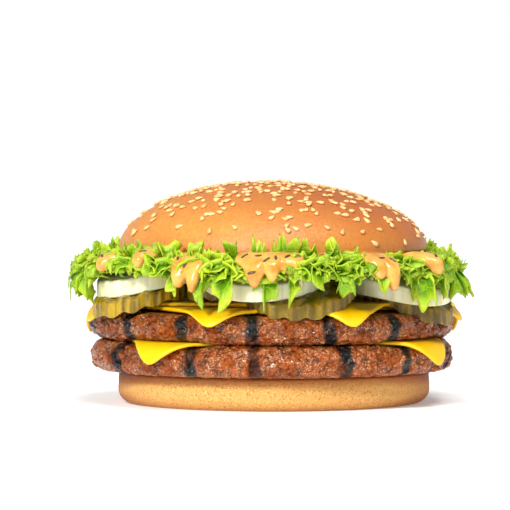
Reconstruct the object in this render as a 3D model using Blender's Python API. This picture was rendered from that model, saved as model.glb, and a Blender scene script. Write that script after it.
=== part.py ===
"""A double cheeseburger, built up from the plate in its own frame.

Units are metres, +Z is up, and the origin is the middle of the flat underside of the heel, the lower half
of the bun. A bearing is the angle round the burger in degrees: 0 is the front, at -Y, and +90 is the right,
at +X. The layers above the upper patty sag together towards the rim, as sag() gives it.
"""

import itertools
import math

import bmesh
import bpy
import numpy as np
from mathutils import Matrix, Vector

MM = 0.001

# Driving dimensions of the bread.
HEEL_RADIUS = 54.8 * MM
HEEL_HEIGHT = 11.3 * MM
HEEL_FOOT_ROUND = 5.0 * MM
CROWN_RADIUS = 53.4 * MM
CROWN_HEIGHT = 25.3 * MM
CROWN_EDGE_ROUND = 2.0 * MM
CROWN_LEAN = 2.2 * MM
SEED_LENGTH = 3.2 * MM
SEED_WIDTH = 1.9 * MM
SEED_DEPTH = 1.7 * MM
SEED_COUNT = 300
SEED_SHARE = 7

# Driving dimensions of the filling.
PATTY_RADIUS = 63.6 * MM
PATTY_THICKNESS = 9.9 * MM
PATTY_DOME = 1.0 * MM
PATTY_RIM = 6 * MM
PATTY_BLUNTNESS = 0.75
CHEESE_SIDE = 103 * MM
CHEESE_THICKNESS = 1.3 * MM
CHEESE_BEND_RADIUS = 8.0 * MM
CHEESE_BEND = 1.45
CHEESE_BEND_START = 59.5 * MM
DROP_START = 55.5 * MM
DROP_LENGTH = 5 * MM
DROP_FRONT = -8 * MM
DROP_DEPTH = 12 * MM
PICKLE_THICKNESS = 5.0 * MM
ONION_THICKNESS = 5.8 * MM
LEAF_THICKNESS = 0.8 * MM
BED_THICKNESS = 0.9 * MM
BED_RADIUS = 52 * MM
BED_HANG = 0.8
DRIZZLE_THICKNESS = 1.6 * MM
GAP = 0.3 * MM

# Heights of the layers at the burger's middle.
LOWER_PATTY = HEEL_HEIGHT + GAP
LOWER_CHEESE = LOWER_PATTY + PATTY_THICKNESS + 1.8 * GAP
UPPER_PATTY = LOWER_CHEESE + CHEESE_THICKNESS + GAP
UPPER_CHEESE = UPPER_PATTY + PATTY_THICKNESS + 1.8 * GAP
TOP_CHEESE = UPPER_CHEESE + CHEESE_THICKNESS + GAP
PICKLE_LEVEL = TOP_CHEESE + CHEESE_THICKNESS + 1.4 * GAP
ONION_LEVEL = PICKLE_LEVEL + PICKLE_THICKNESS + 0.8 * MM
LETTUCE_LEVEL = ONION_LEVEL + ONION_THICKNESS + 1.4 * MM
CROWN_LEVEL = LETTUCE_LEVEL + 1.1 * MM

# The slices of cheese: the bearing of one corner, and how far past the middle the slice lies in the
# directions of that corner and of the next one, to the right of it.
LOWER_SLICE = (-36.5, -3 * MM, -2 * MM)
UPPER_SLICE = (-16.5, -2.8 * MM, -2.8 * MM)
TOP_SLICE = (-69, -2.8 * MM, -2.8 * MM)

# The slices of pickle and onion, as disc_rings() takes them.
CRINKLE_LENGTH = 7.4 * MM
CRINKLE_HEIGHT = 0.5 * MM
PICKLES = [
    (-45.5 * MM, -25 * MM, 16.5 * MM, PICKLE_LEVEL + 0.6 * MM, 0, 0, 0.6),
    (9 * MM, -45 * MM, 18 * MM, PICKLE_LEVEL + 0.6 * MM, 0.01, 0, 0.7),
    (44.5 * MM, -22.5 * MM, 16 * MM, PICKLE_LEVEL + 0.9 * MM, 0, 0, 0.8),
    (33 * MM, 34 * MM, 16 * MM, PICKLE_LEVEL + 0.6 * MM, 0, 0, 0.4),
    (-19 * MM, 42 * MM, 16 * MM, PICKLE_LEVEL + 0.6 * MM, 0, 0, 0.4),
    (-19 * MM, -36 * MM, 10.5 * MM, PICKLE_LEVEL + 0.6 * MM, 0, 0, 0.7),
]
ONIONS = [
    (-41.6 * MM, -20.6 * MM, 19 * MM, ONION_LEVEL + 0.6 * MM, 0, 0, 0.58),
    (-3 * MM, -38 * MM, 22 * MM, ONION_LEVEL + 0.6 * MM, 0, 0, 0.7),
    (42.2 * MM, -24 * MM, 18.6 * MM, ONION_LEVEL + 0.9 * MM, 0, 0, 0.78),
    (25 * MM, 33 * MM, 19.5 * MM, ONION_LEVEL + 0.6 * MM, 0, 0, 0.4),
    (-20 * MM, 34.5 * MM, 19.2 * MM, ONION_LEVEL + 0.6 * MM, 0, 0, 0.42),
]

# The leaves of lettuce, as leaf_surface() takes them: a bearing and half the width in degrees, the (radius,
# height) of the knee and of the hem, the waves across the leaf and their height. The first seven hang down
# over the filling, and the rest stand up in front of the crown.
LEAF_ROOT = (50.5 * MM, LETTUCE_LEVEL - 0.4 * MM)
HANGING_KNEE = (70 * MM, LETTUCE_LEVEL)
STANDING_KNEE = (60 * MM, LETTUCE_LEVEL - 2.4 * MM)
LEAVES = [
    (-79, 20, HANGING_KNEE, (70 * MM, 38 * MM), 2.5, 2.6 * MM),
    (-36, 20, HANGING_KNEE, (68.5 * MM, 43 * MM), 2.5, 2.4 * MM),
    (5, 19, HANGING_KNEE, (69 * MM, 40.5 * MM), 2.5, 2.4 * MM),
    (56, 26, HANGING_KNEE, (69 * MM, 43.5 * MM), 2.5, 2.6 * MM),
    (118, 27, HANGING_KNEE, (69 * MM, 40 * MM), 2.5, 2.6 * MM),
    (183, 27, HANGING_KNEE, (69 * MM, 39 * MM), 2.5, 2.6 * MM),
    (238, 22, HANGING_KNEE, (69 * MM, 40 * MM), 2.5, 2.6 * MM),
    (-56, 24, STANDING_KNEE, (61 * MM, 55 * MM), 3, 2.4 * MM),
    (-12, 15, STANDING_KNEE, (60 * MM, 56.5 * MM), 2, 2.4 * MM),
    (25, 14, STANDING_KNEE, (60 * MM, 56 * MM), 2, 2.4 * MM),
    (68, 22, STANDING_KNEE, (61 * MM, 54.5 * MM), 3, 2.4 * MM),
    (152, 30, STANDING_KNEE, (61 * MM, 55 * MM), 3, 2.4 * MM),
    (225, 30, STANDING_KNEE, (61 * MM, 55 * MM), 3, 2.4 * MM),
]

# The tongues of sauce: a bearing in degrees, half the width, and the (radius, height) of the end.
DRIZZLE_ROOT = (51.5 * MM, LETTUCE_LEVEL - 0.4 * MM)
DRIZZLE_KNEE = (66 * MM, LETTUCE_LEVEL + 3.6 * MM)
DRIZZLES = [
    (-27.5, 5 * MM, (70.5 * MM, 42 * MM)),
    (-2, 7 * MM, (70.5 * MM, 43 * MM)),
    (36, 6 * MM, (70.5 * MM, 42 * MM)),
    (215, 7 * MM, (70.5 * MM, 43 * MM)),
]

SAG_START = 42 * MM
SAG_AT_RIM = 4.8 * MM
RIM = 62 * MM


def sag(radius):
    """How far the soft layers have dropped at this radius: nothing near the middle, then with the square."""
    share = np.clip((radius - SAG_START) / (RIM - SAG_START), 0, None)
    return SAG_AT_RIM * share**2


def noise(points, scale, seed):
    """Smooth noise from -1 to 1: a hashed value at each corner of a cubic lattice, blended by smoothsteps."""
    place = np.asarray(points) / scale
    cell = np.floor(place).astype(np.int64)
    blend = place - cell
    blend = blend * blend * (3 - 2 * blend)
    total = np.zeros(place.shape[:-1])
    for corner in itertools.product((0, 1), repeat=3):
        x, y, z = (cell + np.array(corner)).transpose(-1, *range(place.ndim - 1))
        mixed = (x * 73856093) ^ (y * 19349663) ^ (z * 83492791) ^ (seed * 40503)
        mixed = ((mixed ^ (mixed >> 13)) * 1274126177) & 0x7FFFFFFF
        weight = np.prod(np.where(corner, blend, 1 - blend), axis=-1)
        total += weight * (mixed / 0x3FFFFFFF - 1)
    return total


def polar(radius, bearing, height):
    """Points at this radius, bearing in radians and height."""
    radius, bearing, height = np.broadcast_arrays(radius, bearing, height)
    return np.stack([radius * np.sin(bearing), -radius * np.cos(bearing), height], axis=-1)


def full_turn(count):
    return np.arange(count) * (2 * math.pi / count)


def material(name, colour, roughness):
    """A Principled material of one colour, for a non-metal."""
    made = bpy.data.materials.new(name)
    made.use_nodes = True
    shader = made.node_tree.nodes["Principled BSDF"]
    shader.inputs["Base Color"].default_value = (*colour, 1)
    shader.inputs["Roughness"].default_value = roughness
    shader.inputs["Metallic"].default_value = 0
    return made


def add_object(name, points, faces, finish):
    """A smooth-shaded object from points and faces."""
    mesh = bpy.data.meshes.new(name)
    mesh.from_pydata([tuple(point) for point in points], [], [tuple(face) for face in faces])
    mesh.materials.append(finish)
    mesh.shade_smooth()
    made = bpy.data.objects.new(name, mesh)
    bpy.context.scene.collection.objects.link(made)
    return made


def turned_faces(ring_count, around):
    """Triangles between closed rings of points, with a fan to a first and to a last middle point.

    The rings run from the underside's middle, out, up and back to the upper face's middle.
    """
    faces = []
    first, last = ring_count * around, ring_count * around + 1
    for k in range(around):
        n = (k + 1) % around
        faces.append((first, n, k))
        for ring in range(ring_count - 1):
            a, b = ring * around, (ring + 1) * around
            faces.append((a + k, a + n, b + n))
            faces.append((a + k, b + n, b + k))
        top = (ring_count - 1) * around
        faces.append((last, top + k, top + n))
    return faces


def add_turned(name, rings, finish):
    """A closed solid from rings of points, shaped (ring, round, 3)."""
    ring_count, around, _ = rings.shape
    middles = [rings[0].mean(axis=0), rings[-1].mean(axis=0)]
    points = np.concatenate([rings.reshape(-1, 3), middles])
    return add_object(name, points, turned_faces(ring_count, around), finish)


def add_sheet(name, upper, lower, finish):
    """A thin closed solid from two grids of points, with both faces split into triangles alike."""
    rows, columns, _ = upper.shape
    count = rows * columns
    index = np.arange(count).reshape(rows, columns)
    faces = []
    for i in range(rows - 1):
        for j in range(columns - 1):
            a, b, c, d = index[i, j], index[i + 1, j], index[i + 1, j + 1], index[i, j + 1]
            faces += [(a, b, c), (a, c, d)]
            faces += [(c + count, b + count, a + count), (d + count, c + count, a + count)]
    border = [*index[0, :-1], *index[:-1, -1], *index[-1, :0:-1], *index[:0:-1, 0]]
    for here, after in zip(border, border[1:] + border[:1]):
        faces += [(here, after, after + count), (here, after + count, here + count)]
    points = np.concatenate([upper.reshape(-1, 3), lower.reshape(-1, 3)])
    return add_object(name, points, faces, finish)


def fuse(target, toppings):
    """Joins the toppings to the target with one Boolean union, and removes them."""
    group = bpy.data.collections.new(target.name + "_toppings")
    bpy.context.scene.collection.children.link(group)
    for topping in toppings:
        bpy.context.scene.collection.objects.unlink(topping)
        group.objects.link(topping)
    union = target.modifiers.new("toppings", "BOOLEAN")
    union.operation = "UNION"
    union.operand_type = "COLLECTION"
    union.collection = group
    union.solver = "MANIFOLD"
    graph = bpy.context.evaluated_depsgraph_get()
    fused = bpy.data.meshes.new_from_object(target.evaluated_get(graph))
    target.modifiers.clear()
    target.data = fused
    for topping in toppings:
        bpy.data.objects.remove(topping)
    bpy.data.collections.remove(group)


# Bread


def heel_rings(around):
    """The heel: a flat foot with a rounded lower edge, nearly upright sides and a flat cut top."""
    turn = full_turn(around)
    foot = np.linspace(0, math.pi / 2, 4)
    radii = [HEEL_RADIUS - HEEL_FOOT_ROUND * (1 - math.sin(angle)) for angle in foot]
    heights = [HEEL_FOOT_ROUND * (1 - math.cos(angle)) for angle in foot]
    radii += [HEEL_RADIUS - 0.3 * MM, HEEL_RADIUS - 1.2 * MM]
    heights += [HEEL_HEIGHT - 1.0 * MM, HEEL_HEIGHT]
    rings = []
    for radius, height in zip([0.5 * HEEL_RADIUS, *radii, 0.5 * HEEL_RADIUS], [0, *heights, HEEL_HEIGHT]):
        uneven = 0.5 * MM * noise(polar(HEEL_RADIUS, turn, 0.0), 30 * MM, 3)
        rings.append(polar(radius + uneven * radius / HEEL_RADIUS, turn, height))
    return np.array(rings)


def crown_surface(bearing, rise):
    """A point on the crown's dome: rise runs from 0 at its widest, along an ellipse, to 1 at its top.

    The dome leans a little to the left, and is uneven by less than a millimetre.
    """
    angle = rise * math.pi / 2
    dome = CROWN_HEIGHT - CROWN_EDGE_ROUND
    height = CROWN_LEVEL + CROWN_EDGE_ROUND + dome * np.sin(angle)
    point = polar(CROWN_RADIUS * np.cos(angle) ** 1.04, bearing, height)
    point[..., 0] -= CROWN_LEAN * np.sin(angle) ** 2
    uneven = 0.7 * MM * noise(point, 26 * MM, 11)
    point[..., :2] *= 1 + uneven[..., None] / CROWN_RADIUS
    return point


def crown_rings(around):
    """The crown: a flat underside, a rounded lower edge and the dome."""
    turn = full_turn(around)
    rings = [polar(0.55 * CROWN_RADIUS, turn, CROWN_LEVEL)]
    for angle in np.linspace(0, math.pi / 2, 3)[:-1]:
        radius = CROWN_RADIUS - CROWN_EDGE_ROUND * (1 - math.sin(angle))
        rings.append(polar(radius, turn, CROWN_LEVEL + CROWN_EDGE_ROUND * (1 - math.cos(angle))))
    rings += [crown_surface(turn, rise) for rise in (0, 0.13, 0.26, 0.39, 0.52, 0.65, 0.78, 0.9)]
    return np.array(rings)


def seed_places():
    """Where the sesame seeds lie: (bearing, rise, turn) for each, by a golden-angle spiral and seeded jitter.

    The seeds crowd towards the top of the dome and thin out down its sides.
    """
    draw = np.random.default_rng(7)
    order = (np.arange(SEED_COUNT) + 0.5) / SEED_COUNT
    bearing = np.arange(SEED_COUNT) * math.radians(137.508) + draw.uniform(-0.25, 0.25, SEED_COUNT)
    radius_share = 0.93 * order**0.62 + draw.uniform(-0.03, 0.03, SEED_COUNT)
    rise = np.arccos(np.clip(radius_share, 0.02, 0.985)) / (math.pi / 2)
    return list(zip(bearing, rise, draw.uniform(0, math.pi, SEED_COUNT)))


def lies_on(surface, u, v, turn):
    """A matrix that lays an object on surface(u, v), turned about the surface's normal."""
    step = 0.01
    here = Vector(surface(u, v))
    along = Vector(surface(u + step, v)) - here
    upward = Vector(surface(u, v + step)) - here
    normal = along.cross(upward).normalized()
    side = along.normalized()
    frame = Matrix((side, normal.cross(side), normal)).transposed().to_4x4()
    return Matrix.Translation(here) @ frame @ Matrix.Rotation(turn, 4, "Z")


def add_seed(number, place, finish):
    """One sesame seed, a flat drop, half sunk in the crust."""
    shape = bmesh.new()
    bmesh.ops.create_icosphere(shape, subdivisions=1, radius=0.5)
    for corner in shape.verts:
        x, y, z = corner.co
        taper = 1 - 0.45 * x
        corner.co = Vector((x * SEED_LENGTH, y * SEED_WIDTH * taper, z * SEED_DEPTH))
    mesh = bpy.data.meshes.new(f"seed_{number}")
    shape.to_mesh(mesh)
    shape.free()
    mesh.transform(place)
    mesh.materials.append(finish)
    made = bpy.data.objects.new(mesh.name, mesh)
    bpy.context.scene.collection.objects.link(made)
    return made


def make_bread():
    crust = material("crust", (0.72, 0.36, 0.12), 0.45)
    sesame = material("sesame", (0.85, 0.66, 0.36), 0.5)
    add_turned("heel", heel_rings(40), crust)
    crown = add_turned("crown", crown_rings(40), crust)
    places = seed_places()[::SEED_SHARE]
    seeds = [
        add_seed(number, lies_on(crown_surface, bearing, rise, turn), sesame)
        for number, (bearing, rise, turn) in enumerate(places)
    ]
    fuse(crown, seeds)


# Patties and cheese


def patty_rings(around, level, dome, seed):
    """A patty: flat faces, a bulging craggy rim and an uneven outline. dome lowers the upper face's edge."""
    turn = full_turn(around)
    half, rim = PATTY_THICKNESS / 2, PATTY_RIM
    flat = PATTY_RADIUS - rim
    profile = [(0.5 * flat, -half), (0.85 * flat, -half)]
    for angle in np.radians([-85, -58, -30, 0, 30, 58, 85]):
        bulge = math.cos(angle) ** PATTY_BLUNTNESS
        rise = math.copysign(abs(math.sin(angle)) ** PATTY_BLUNTNESS, angle)
        profile.append((flat + rim * bulge, half * rise))
    profile += [(0.85 * flat, half), (0.5 * flat, half)]
    rings = []
    for radius, height in profile:
        outward = max(0, (radius - flat) / rim)
        point = polar(radius, turn, level + half + height)
        outline = 1.1 * MM * noise(polar(PATTY_RADIUS, turn, 0.0), 24 * MM, seed)
        crags = 0.8 * MM * noise(point, 5.5 * MM, seed + 1)
        moved = polar(radius + outward * (outline + crags - 0.4 * MM), turn, point[:, 2])
        moved[:, 2] -= dome * (radius / RIM) ** 2 * (0.5 + 0.5 * height / half)
        rings.append(moved)
    return np.array(rings)


def draped(place, offset, dome):
    """Folds flat points down over a patty's rim, keeping their distance from the middle along the sheet.

    Up to CHEESE_BEND_START the sheet lies on the patty, then it bends down in an arc as far as CHEESE_BEND,
    and the rest hangs straight. offset is the height over the patty's surface.
    """
    x, y = place[..., 0], place[..., 1]
    along = np.hypot(x, y)
    flat = np.minimum(along, CHEESE_BEND_START)
    bend = np.minimum((along - flat) / CHEESE_BEND_RADIUS, CHEESE_BEND)
    straight = along - flat - bend * CHEESE_BEND_RADIUS
    arc = CHEESE_BEND_RADIUS + offset
    radius = flat + arc * np.sin(bend) + straight * np.cos(bend)
    height = offset - dome * (flat / RIM) ** 2 - arc * (1 - np.cos(bend)) - straight * np.sin(bend)
    return polar(radius, np.arctan2(x, -y), height)


def add_cheese(name, level, placing, offset, below, dome, finish):
    """A square slice with its corners hanging over the rim, placed as LOWER_SLICE says.

    In front it drops by below, past the edge of the slice under it.
    """
    turn, towards, across = placing
    first, second = math.radians(turn), math.radians(turn + 90)
    middle = polar(towards, first, 0.0) + polar(across, second, 0.0)
    outer = np.array([0.38, 0.54, 0.66, 0.78, 0.89, 1])
    share = np.concatenate([-outer[::-1], [0], outer])
    u, v = np.meshgrid(share, share, indexing="ij")
    rounded = (1 - 0.035 * np.abs(u * v) ** 8) * CHEESE_SIDE / 2
    angle = math.radians(45 - turn)
    x = middle[0] + rounded * (u * math.cos(angle) - v * math.sin(angle))
    y = middle[1] - rounded * (u * math.sin(angle) + v * math.cos(angle))
    place = np.stack([x, y], axis=-1)
    drop = below * np.clip((np.hypot(x, y) - DROP_START) / DROP_LENGTH, 0, 1)
    drop = drop * np.clip((DROP_FRONT - y) / DROP_DEPTH, 0, 1)
    lower = draped(place, offset - drop, dome)
    upper = draped(place, offset - drop + CHEESE_THICKNESS, dome)
    lower[..., 2] += level
    upper[..., 2] += level
    add_sheet(name, lower, upper, finish)


def make_patties():
    beef = material("beef", (0.22, 0.07, 0.03), 0.4)
    add_turned("patty_lower", patty_rings(42, LOWER_PATTY, 0, 21), beef)
    add_turned("patty_upper", patty_rings(42, UPPER_PATTY, PATTY_DOME, 31), beef)


def make_cheese():
    cheddar = material("cheese", (0.95, 0.62, 0.01), 0.4)
    lower_top = LOWER_PATTY + PATTY_THICKNESS
    upper_top = UPPER_PATTY + PATTY_THICKNESS
    first = 1.8 * GAP
    second = CHEESE_THICKNESS + 2.6 * GAP
    below = CHEESE_THICKNESS + 0.6 * GAP
    add_cheese("cheese_lower", lower_top, LOWER_SLICE, first, 0, 0, cheddar)
    add_cheese("cheese_upper", upper_top, UPPER_SLICE, first, 0, PATTY_DOME, cheddar)
    add_cheese("cheese_top", upper_top, TOP_SLICE, second, below, PATTY_DOME, cheddar)


# Pickles and onions


def disc_rings(around, disc, thickness, crinkle):
    """A round slice that sags with the layers below it.

    disc is (x, y, radius, level, tilt_x, tilt_y, hang): its middle, its radius, the height of its underside
    where nothing sags, its slopes to the right and to the back, and how many times over it sags. crinkle is
    the height of the waves cut across both faces.
    """
    x, y, radius, level, tilt_x, tilt_y, hang = disc
    turn = full_turn(around)
    rings = []
    for share, face in ((0.5, 0), (0.93, 0), (1, 0.2), (1, 0.8), (0.93, 1), (0.5, 1)):
        uneven = 1 + 0.03 * noise(polar(radius, turn, 0.0), 12 * MM, int(radius / MM))
        px = x + radius * share * uneven * np.sin(turn)
        py = y - radius * share * uneven * np.cos(turn)
        wave = crinkle * np.sin(2 * math.pi * (px - x) / CRINKLE_LENGTH)
        height = level + tilt_x * (px - x) + tilt_y * (py - y) - hang * sag(np.hypot(px, py))
        rings.append(np.stack([px, py, height + wave + thickness * face], axis=-1))
    return np.array(rings)


def make_slices():
    gherkin = material("pickle", (0.30, 0.25, 0.03), 0.35)
    raw_onion = material("onion", (0.85, 0.80, 0.62), 0.35)
    for number, disc in enumerate(PICKLES, start=1):
        add_turned(f"pickle_{number}", disc_rings(18, disc, PICKLE_THICKNESS, CRINKLE_HEIGHT), gherkin)
    for number, disc in enumerate(ONIONS, start=1):
        add_turned(f"onion_{number}", disc_rings(18, disc, ONION_THICKNESS, 0), raw_onion)


# Lettuce and sauce


def bed_rings(around):
    """The lettuce's core: a middle that reaches down to the cheese, and a thin bed over the onions."""
    turn = full_turn(around)
    column, floor = 11 * MM, PICKLE_LEVEL + 0.5 * MM
    under = [(0.6 * column, floor), (column, floor + 2 * MM)]
    top = LETTUCE_LEVEL + BED_THICKNESS
    under += [(out, LETTUCE_LEVEL - BED_HANG * sag(out)) for out in (column + MM, 42 * MM, BED_RADIUS - MM)]
    over = [(out, top - BED_HANG * sag(out)) for out in (BED_RADIUS, 42 * MM, column)]
    return np.array([polar(radius, turn, height) for radius, height in under + over])


def bezier(corners, t):
    """Points of the curve with these three corners at the shares t along it."""
    start, knee, end = (np.array(corner) for corner in corners)
    t = t[..., None]
    return (1 - t) ** 2 * start + 2 * t * (1 - t) * knee + t**2 * end


def leaf_surface(leaf, s, t, offset):
    """A ruffled leaf at s across it, from -1 to 1, and t from its root to its hem.

    The leaf follows a curve outwards over the burger's edge. Waves across the curve, and sideways at twice
    their rate so that the folds lean over, grow towards the hem.
    """
    bearing, half_span, knee, hem, waves, height = leaf
    middle = bezier((LEAF_ROOT, knee, hem), t)
    ahead = bezier((LEAF_ROOT, knee, hem), t + 0.01) - middle
    ahead /= np.linalg.norm(ahead, axis=-1, keepdims=True)
    across = np.stack([-ahead[..., 1], ahead[..., 0]], axis=-1)
    phase = math.pi * waves * s + math.radians(bearing) * 3
    grown = height * t**2.2
    moved = middle + across * (grown * np.sin(phase) + offset)[..., None]
    scallop = 1.6 * MM * t * np.sin(phase * 0.5 + 1) * ahead[..., 1]
    lean = 0.45 * grown * np.sin(2 * phase) / moved[..., 0]
    taper = 0.55 + 0.45 * t
    turn = math.radians(bearing) + math.radians(half_span) * s * taper + lean
    return polar(moved[..., 0], turn, moved[..., 1] + scallop)


def add_leaf(name, leaf, finish):
    """One leaf as a thin closed sheet."""
    s, t = np.meshgrid(np.linspace(-1, 1, 11), np.array([0, 0.42, 0.74, 1]), indexing="ij")
    lower = leaf_surface(leaf, s, t, -LEAF_THICKNESS / 2)
    upper = leaf_surface(leaf, s, t, LEAF_THICKNESS / 2)
    return add_sheet(name, lower, upper, finish)


def add_drizzle(name, drizzle, finish):
    """A tongue of thick sauce that runs out over the lettuce and down, with a rounded end."""
    bearing, half_width, end = drizzle
    t = np.array([0, 0.2, 0.4, 0.6, 0.8, 1])
    middle = bezier((DRIZZLE_ROOT, DRIZZLE_KNEE, end), t)
    ahead = np.gradient(middle, axis=0)
    ahead /= np.linalg.norm(ahead, axis=-1, keepdims=True)
    across = np.stack([-ahead[:, 1], ahead[:, 0]], axis=-1)
    swell = np.array([0.5, 1, 0.9, 0.75, 0.66, 0.35])
    rings = []
    for place, normal, share in zip(middle, across, swell):
        turn = full_turn(6)
        flat = place + normal * (DRIZZLE_THICKNESS * min(1, 1.4 * share) * np.sin(turn))[:, None]
        sideways = half_width * share * np.cos(turn) / place[0]
        rings.append(polar(flat[:, 0], math.radians(bearing) + sideways, flat[:, 1]))
    return add_turned(name, np.array(rings), finish)


def make_lettuce():
    leaf_green = material("lettuce", (0.28, 0.52, 0.05), 0.5)
    sauce = material("sauce", (0.85, 0.50, 0.18), 0.3)
    lettuce = add_turned("lettuce", bed_rings(24), leaf_green)
    toppings = [add_leaf(f"leaf_{number}", leaf, leaf_green) for number, leaf in enumerate(LEAVES)]
    toppings += [add_drizzle(f"drizzle_{number}", drizzle, sauce) for number, drizzle in enumerate(DRIZZLES)]
    fuse(lettuce, toppings)


def main():
    for old in list(bpy.data.objects):
        bpy.data.objects.remove(old)
    make_bread()
    make_patties()
    make_cheese()
    make_slices()
    make_lettuce()


main()
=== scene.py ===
"""Dresses the double cheeseburger: bread, beef, cheese, pickle, onion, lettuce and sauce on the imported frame.

Lengths are metres, in the frame's own axes: +Z up, the side that the photograph shows at -Y. A bearing is the
angle round the burger: 0 is the front and 90 degrees is the right, at +X.
"""

import itertools
import math

import bpy
import numpy as np
from bpy.props import FloatProperty, FloatVectorProperty, IntProperty, PointerProperty
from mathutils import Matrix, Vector


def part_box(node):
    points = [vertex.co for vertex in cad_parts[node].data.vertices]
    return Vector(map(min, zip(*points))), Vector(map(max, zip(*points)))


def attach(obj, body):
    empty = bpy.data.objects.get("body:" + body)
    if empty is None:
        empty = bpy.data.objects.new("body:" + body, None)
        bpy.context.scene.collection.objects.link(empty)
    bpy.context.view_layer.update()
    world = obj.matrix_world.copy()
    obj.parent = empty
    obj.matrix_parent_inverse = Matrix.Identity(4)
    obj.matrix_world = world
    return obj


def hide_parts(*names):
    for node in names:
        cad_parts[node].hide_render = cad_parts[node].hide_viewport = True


bl_info = {
    "name": "Double Cheeseburger",
    "version": (1, 0, 0),
    "blender": (4, 5, 0),
    "location": "View3D > Sidebar > Burger",
    "description": "Builds and finishes the layers of a double cheeseburger",
    "category": "Add Mesh",
}

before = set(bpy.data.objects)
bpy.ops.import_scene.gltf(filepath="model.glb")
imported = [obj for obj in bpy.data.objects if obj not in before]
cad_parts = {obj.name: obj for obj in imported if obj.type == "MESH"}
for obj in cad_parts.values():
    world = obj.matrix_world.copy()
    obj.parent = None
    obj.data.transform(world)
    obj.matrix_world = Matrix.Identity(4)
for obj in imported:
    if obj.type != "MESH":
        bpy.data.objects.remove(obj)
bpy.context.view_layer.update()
MM = 0.001
BODY = "root"

HEEL_LOW, HEEL_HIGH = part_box("heel")
HEEL_FOOT = 5 * MM
CROWN_LOW, CROWN_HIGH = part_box("crown")
LOWER_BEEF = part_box("patty_lower")[0][2]
UPPER_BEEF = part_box("patty_upper")[0][2]
GAP = 0.3 * MM

# How the soft layers sag together towards the rim, as their solids do.
SAG_START = 42 * MM
SAG_AT_RIM = 4.8 * MM
RIM = 62 * MM

# The levels of the layers' undersides at the burger's middle.
PICKLE_LEVEL = 37.4 * MM
ONION_LEVEL = PICKLE_LEVEL + 5.8 * MM
LETTUCE_LEVEL = ONION_LEVEL + 7.2 * MM


def linear(red, green, blue):
    """A colour given in the 0 to 255 of a screen, as the linear values that a shader takes."""
    values = np.array([red, green, blue]) / 255
    return tuple(np.where(values <= 0.04045, values / 12.92, ((values + 0.055) / 1.055) ** 2.4))


def length(name, description, default):
    return FloatProperty(name=name, description=description, default=default, unit="LENGTH", precision=5)


def share(name, description, default):
    return FloatProperty(name=name, description=description, default=default, min=0, max=1, subtype="FACTOR")


def colour(name, description, default):
    return FloatVectorProperty(
        name=name, description=description, default=default, subtype="COLOR", min=0, max=1
    )


# Settings


class BreadSettings(bpy.types.PropertyGroup):
    crown_radius: length("Crown radius", "Half the width of the crown at its widest", 53.4 * MM)
    crown_edge: length("Crown edge", "Rounding of the crown's lower edge", 2.0 * MM)
    crown_height: length("Crown height", "From the crown's flat underside to its top", 25.3 * MM)
    crown_lean: length("Crown lean", "How far the top of the crown leans to the left", 2.2 * MM)
    seed_length: length("Seed length", "Length of a sesame seed", 2.9 * MM)
    seed_count: IntProperty(name="Seeds", description="Sesame seeds on the crown", default=560, min=1)
    golden: colour("Golden", "Baked crust low on the crown", linear(212, 144, 64))
    # Brown is also the painted shade on the crown's right side and on the heel's top edge, ends and foot.
    brown: colour("Brown", "Deeper baked crust at the top", linear(176, 92, 38))
    crumb: colour("Crumb", "Toasted side of the heel", linear(250, 196, 112))
    pore: colour("Pore", "Darker pores in the heel", linear(206, 124, 52))
    seed: colour("Seed", "Sesame seed", linear(240, 200, 142))


class BeefSettings(bpy.types.PropertyGroup):
    radius: length("Radius", "Half the width of a patty", 63.6 * MM)
    thickness: length("Thickness", "Thickness of a patty", 9.9 * MM)
    dome: length("Dome", "How far the upper patty's edge droops", 1.0 * MM)
    bluntness: share("Bluntness", "How square the rim is: 1 is round and 0 is upright", 0.75)
    crag: length("Crags", "Height of the lumps round the rim", 0.8 * MM)
    brown: colour("Brown", "Seared beef", linear(172, 82, 22))
    # Dark is painted shade in the hollows between the grains, and also the meat's own darker speckles and
    # patches.
    dark: colour("Dark", "Darker beef in the hollows", linear(84, 32, 8))
    char: colour("Char", "Grill marks", linear(14, 10, 11))


class CheeseSettings(bpy.types.PropertyGroup):
    side: length("Side", "Side of a square slice", 103 * MM)
    thickness: length("Thickness", "Thickness of a slice", 1.3 * MM)
    bend_start: length("Bend start", "Radius at which a slice bends down", 59.2 * MM)
    bend_radius: length("Bend radius", "Radius of the bend over a patty's rim", 7.6 * MM)
    yellow: colour("Yellow", "Cheese", linear(252, 196, 0))


class PickleSettings(bpy.types.PropertyGroup):
    thickness: length("Thickness", "Thickness of a slice", 5.2 * MM)
    crinkle_height: length("Crinkle height", "Height of the waves cut across a slice", 0.6 * MM)
    crinkle_length: length("Crinkle length", "Distance from wave to wave", 7.4 * MM)
    olive: colour("Olive", "Flesh", linear(184, 148, 8))
    skin: colour("Skin", "Darker skin round a slice", linear(94, 74, 0))


class OnionSettings(bpy.types.PropertyGroup):
    thickness: length("Thickness", "Thickness of a slice", 5.9 * MM)
    flesh: colour("Flesh", "Onion", linear(250, 242, 204))
    line: colour("Lines", "Fine lines along the layers", linear(214, 204, 158))


class LettuceSettings(bpy.types.PropertyGroup):
    thickness: length("Thickness", "Thickness of a leaf", 0.5 * MM)
    green: colour("Green", "Leaf", linear(104, 156, 0))
    deep: colour("Deep green", "Leaf near its root", linear(40, 86, 0))
    edge: colour("Edge", "Pale edge of a leaf", linear(192, 212, 46))


class SauceSettings(bpy.types.PropertyGroup):
    thickness: length("Thickness", "Depth of the sauce at its middle", 2.4 * MM)
    cream: colour("Cream", "Sauce", linear(226, 174, 86))
    amber: colour("Amber", "Sauce where it is deeper", linear(204, 132, 44))
    fleck: colour("Fleck", "Chopped herb in the sauce", linear(100, 78, 44))


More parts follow.
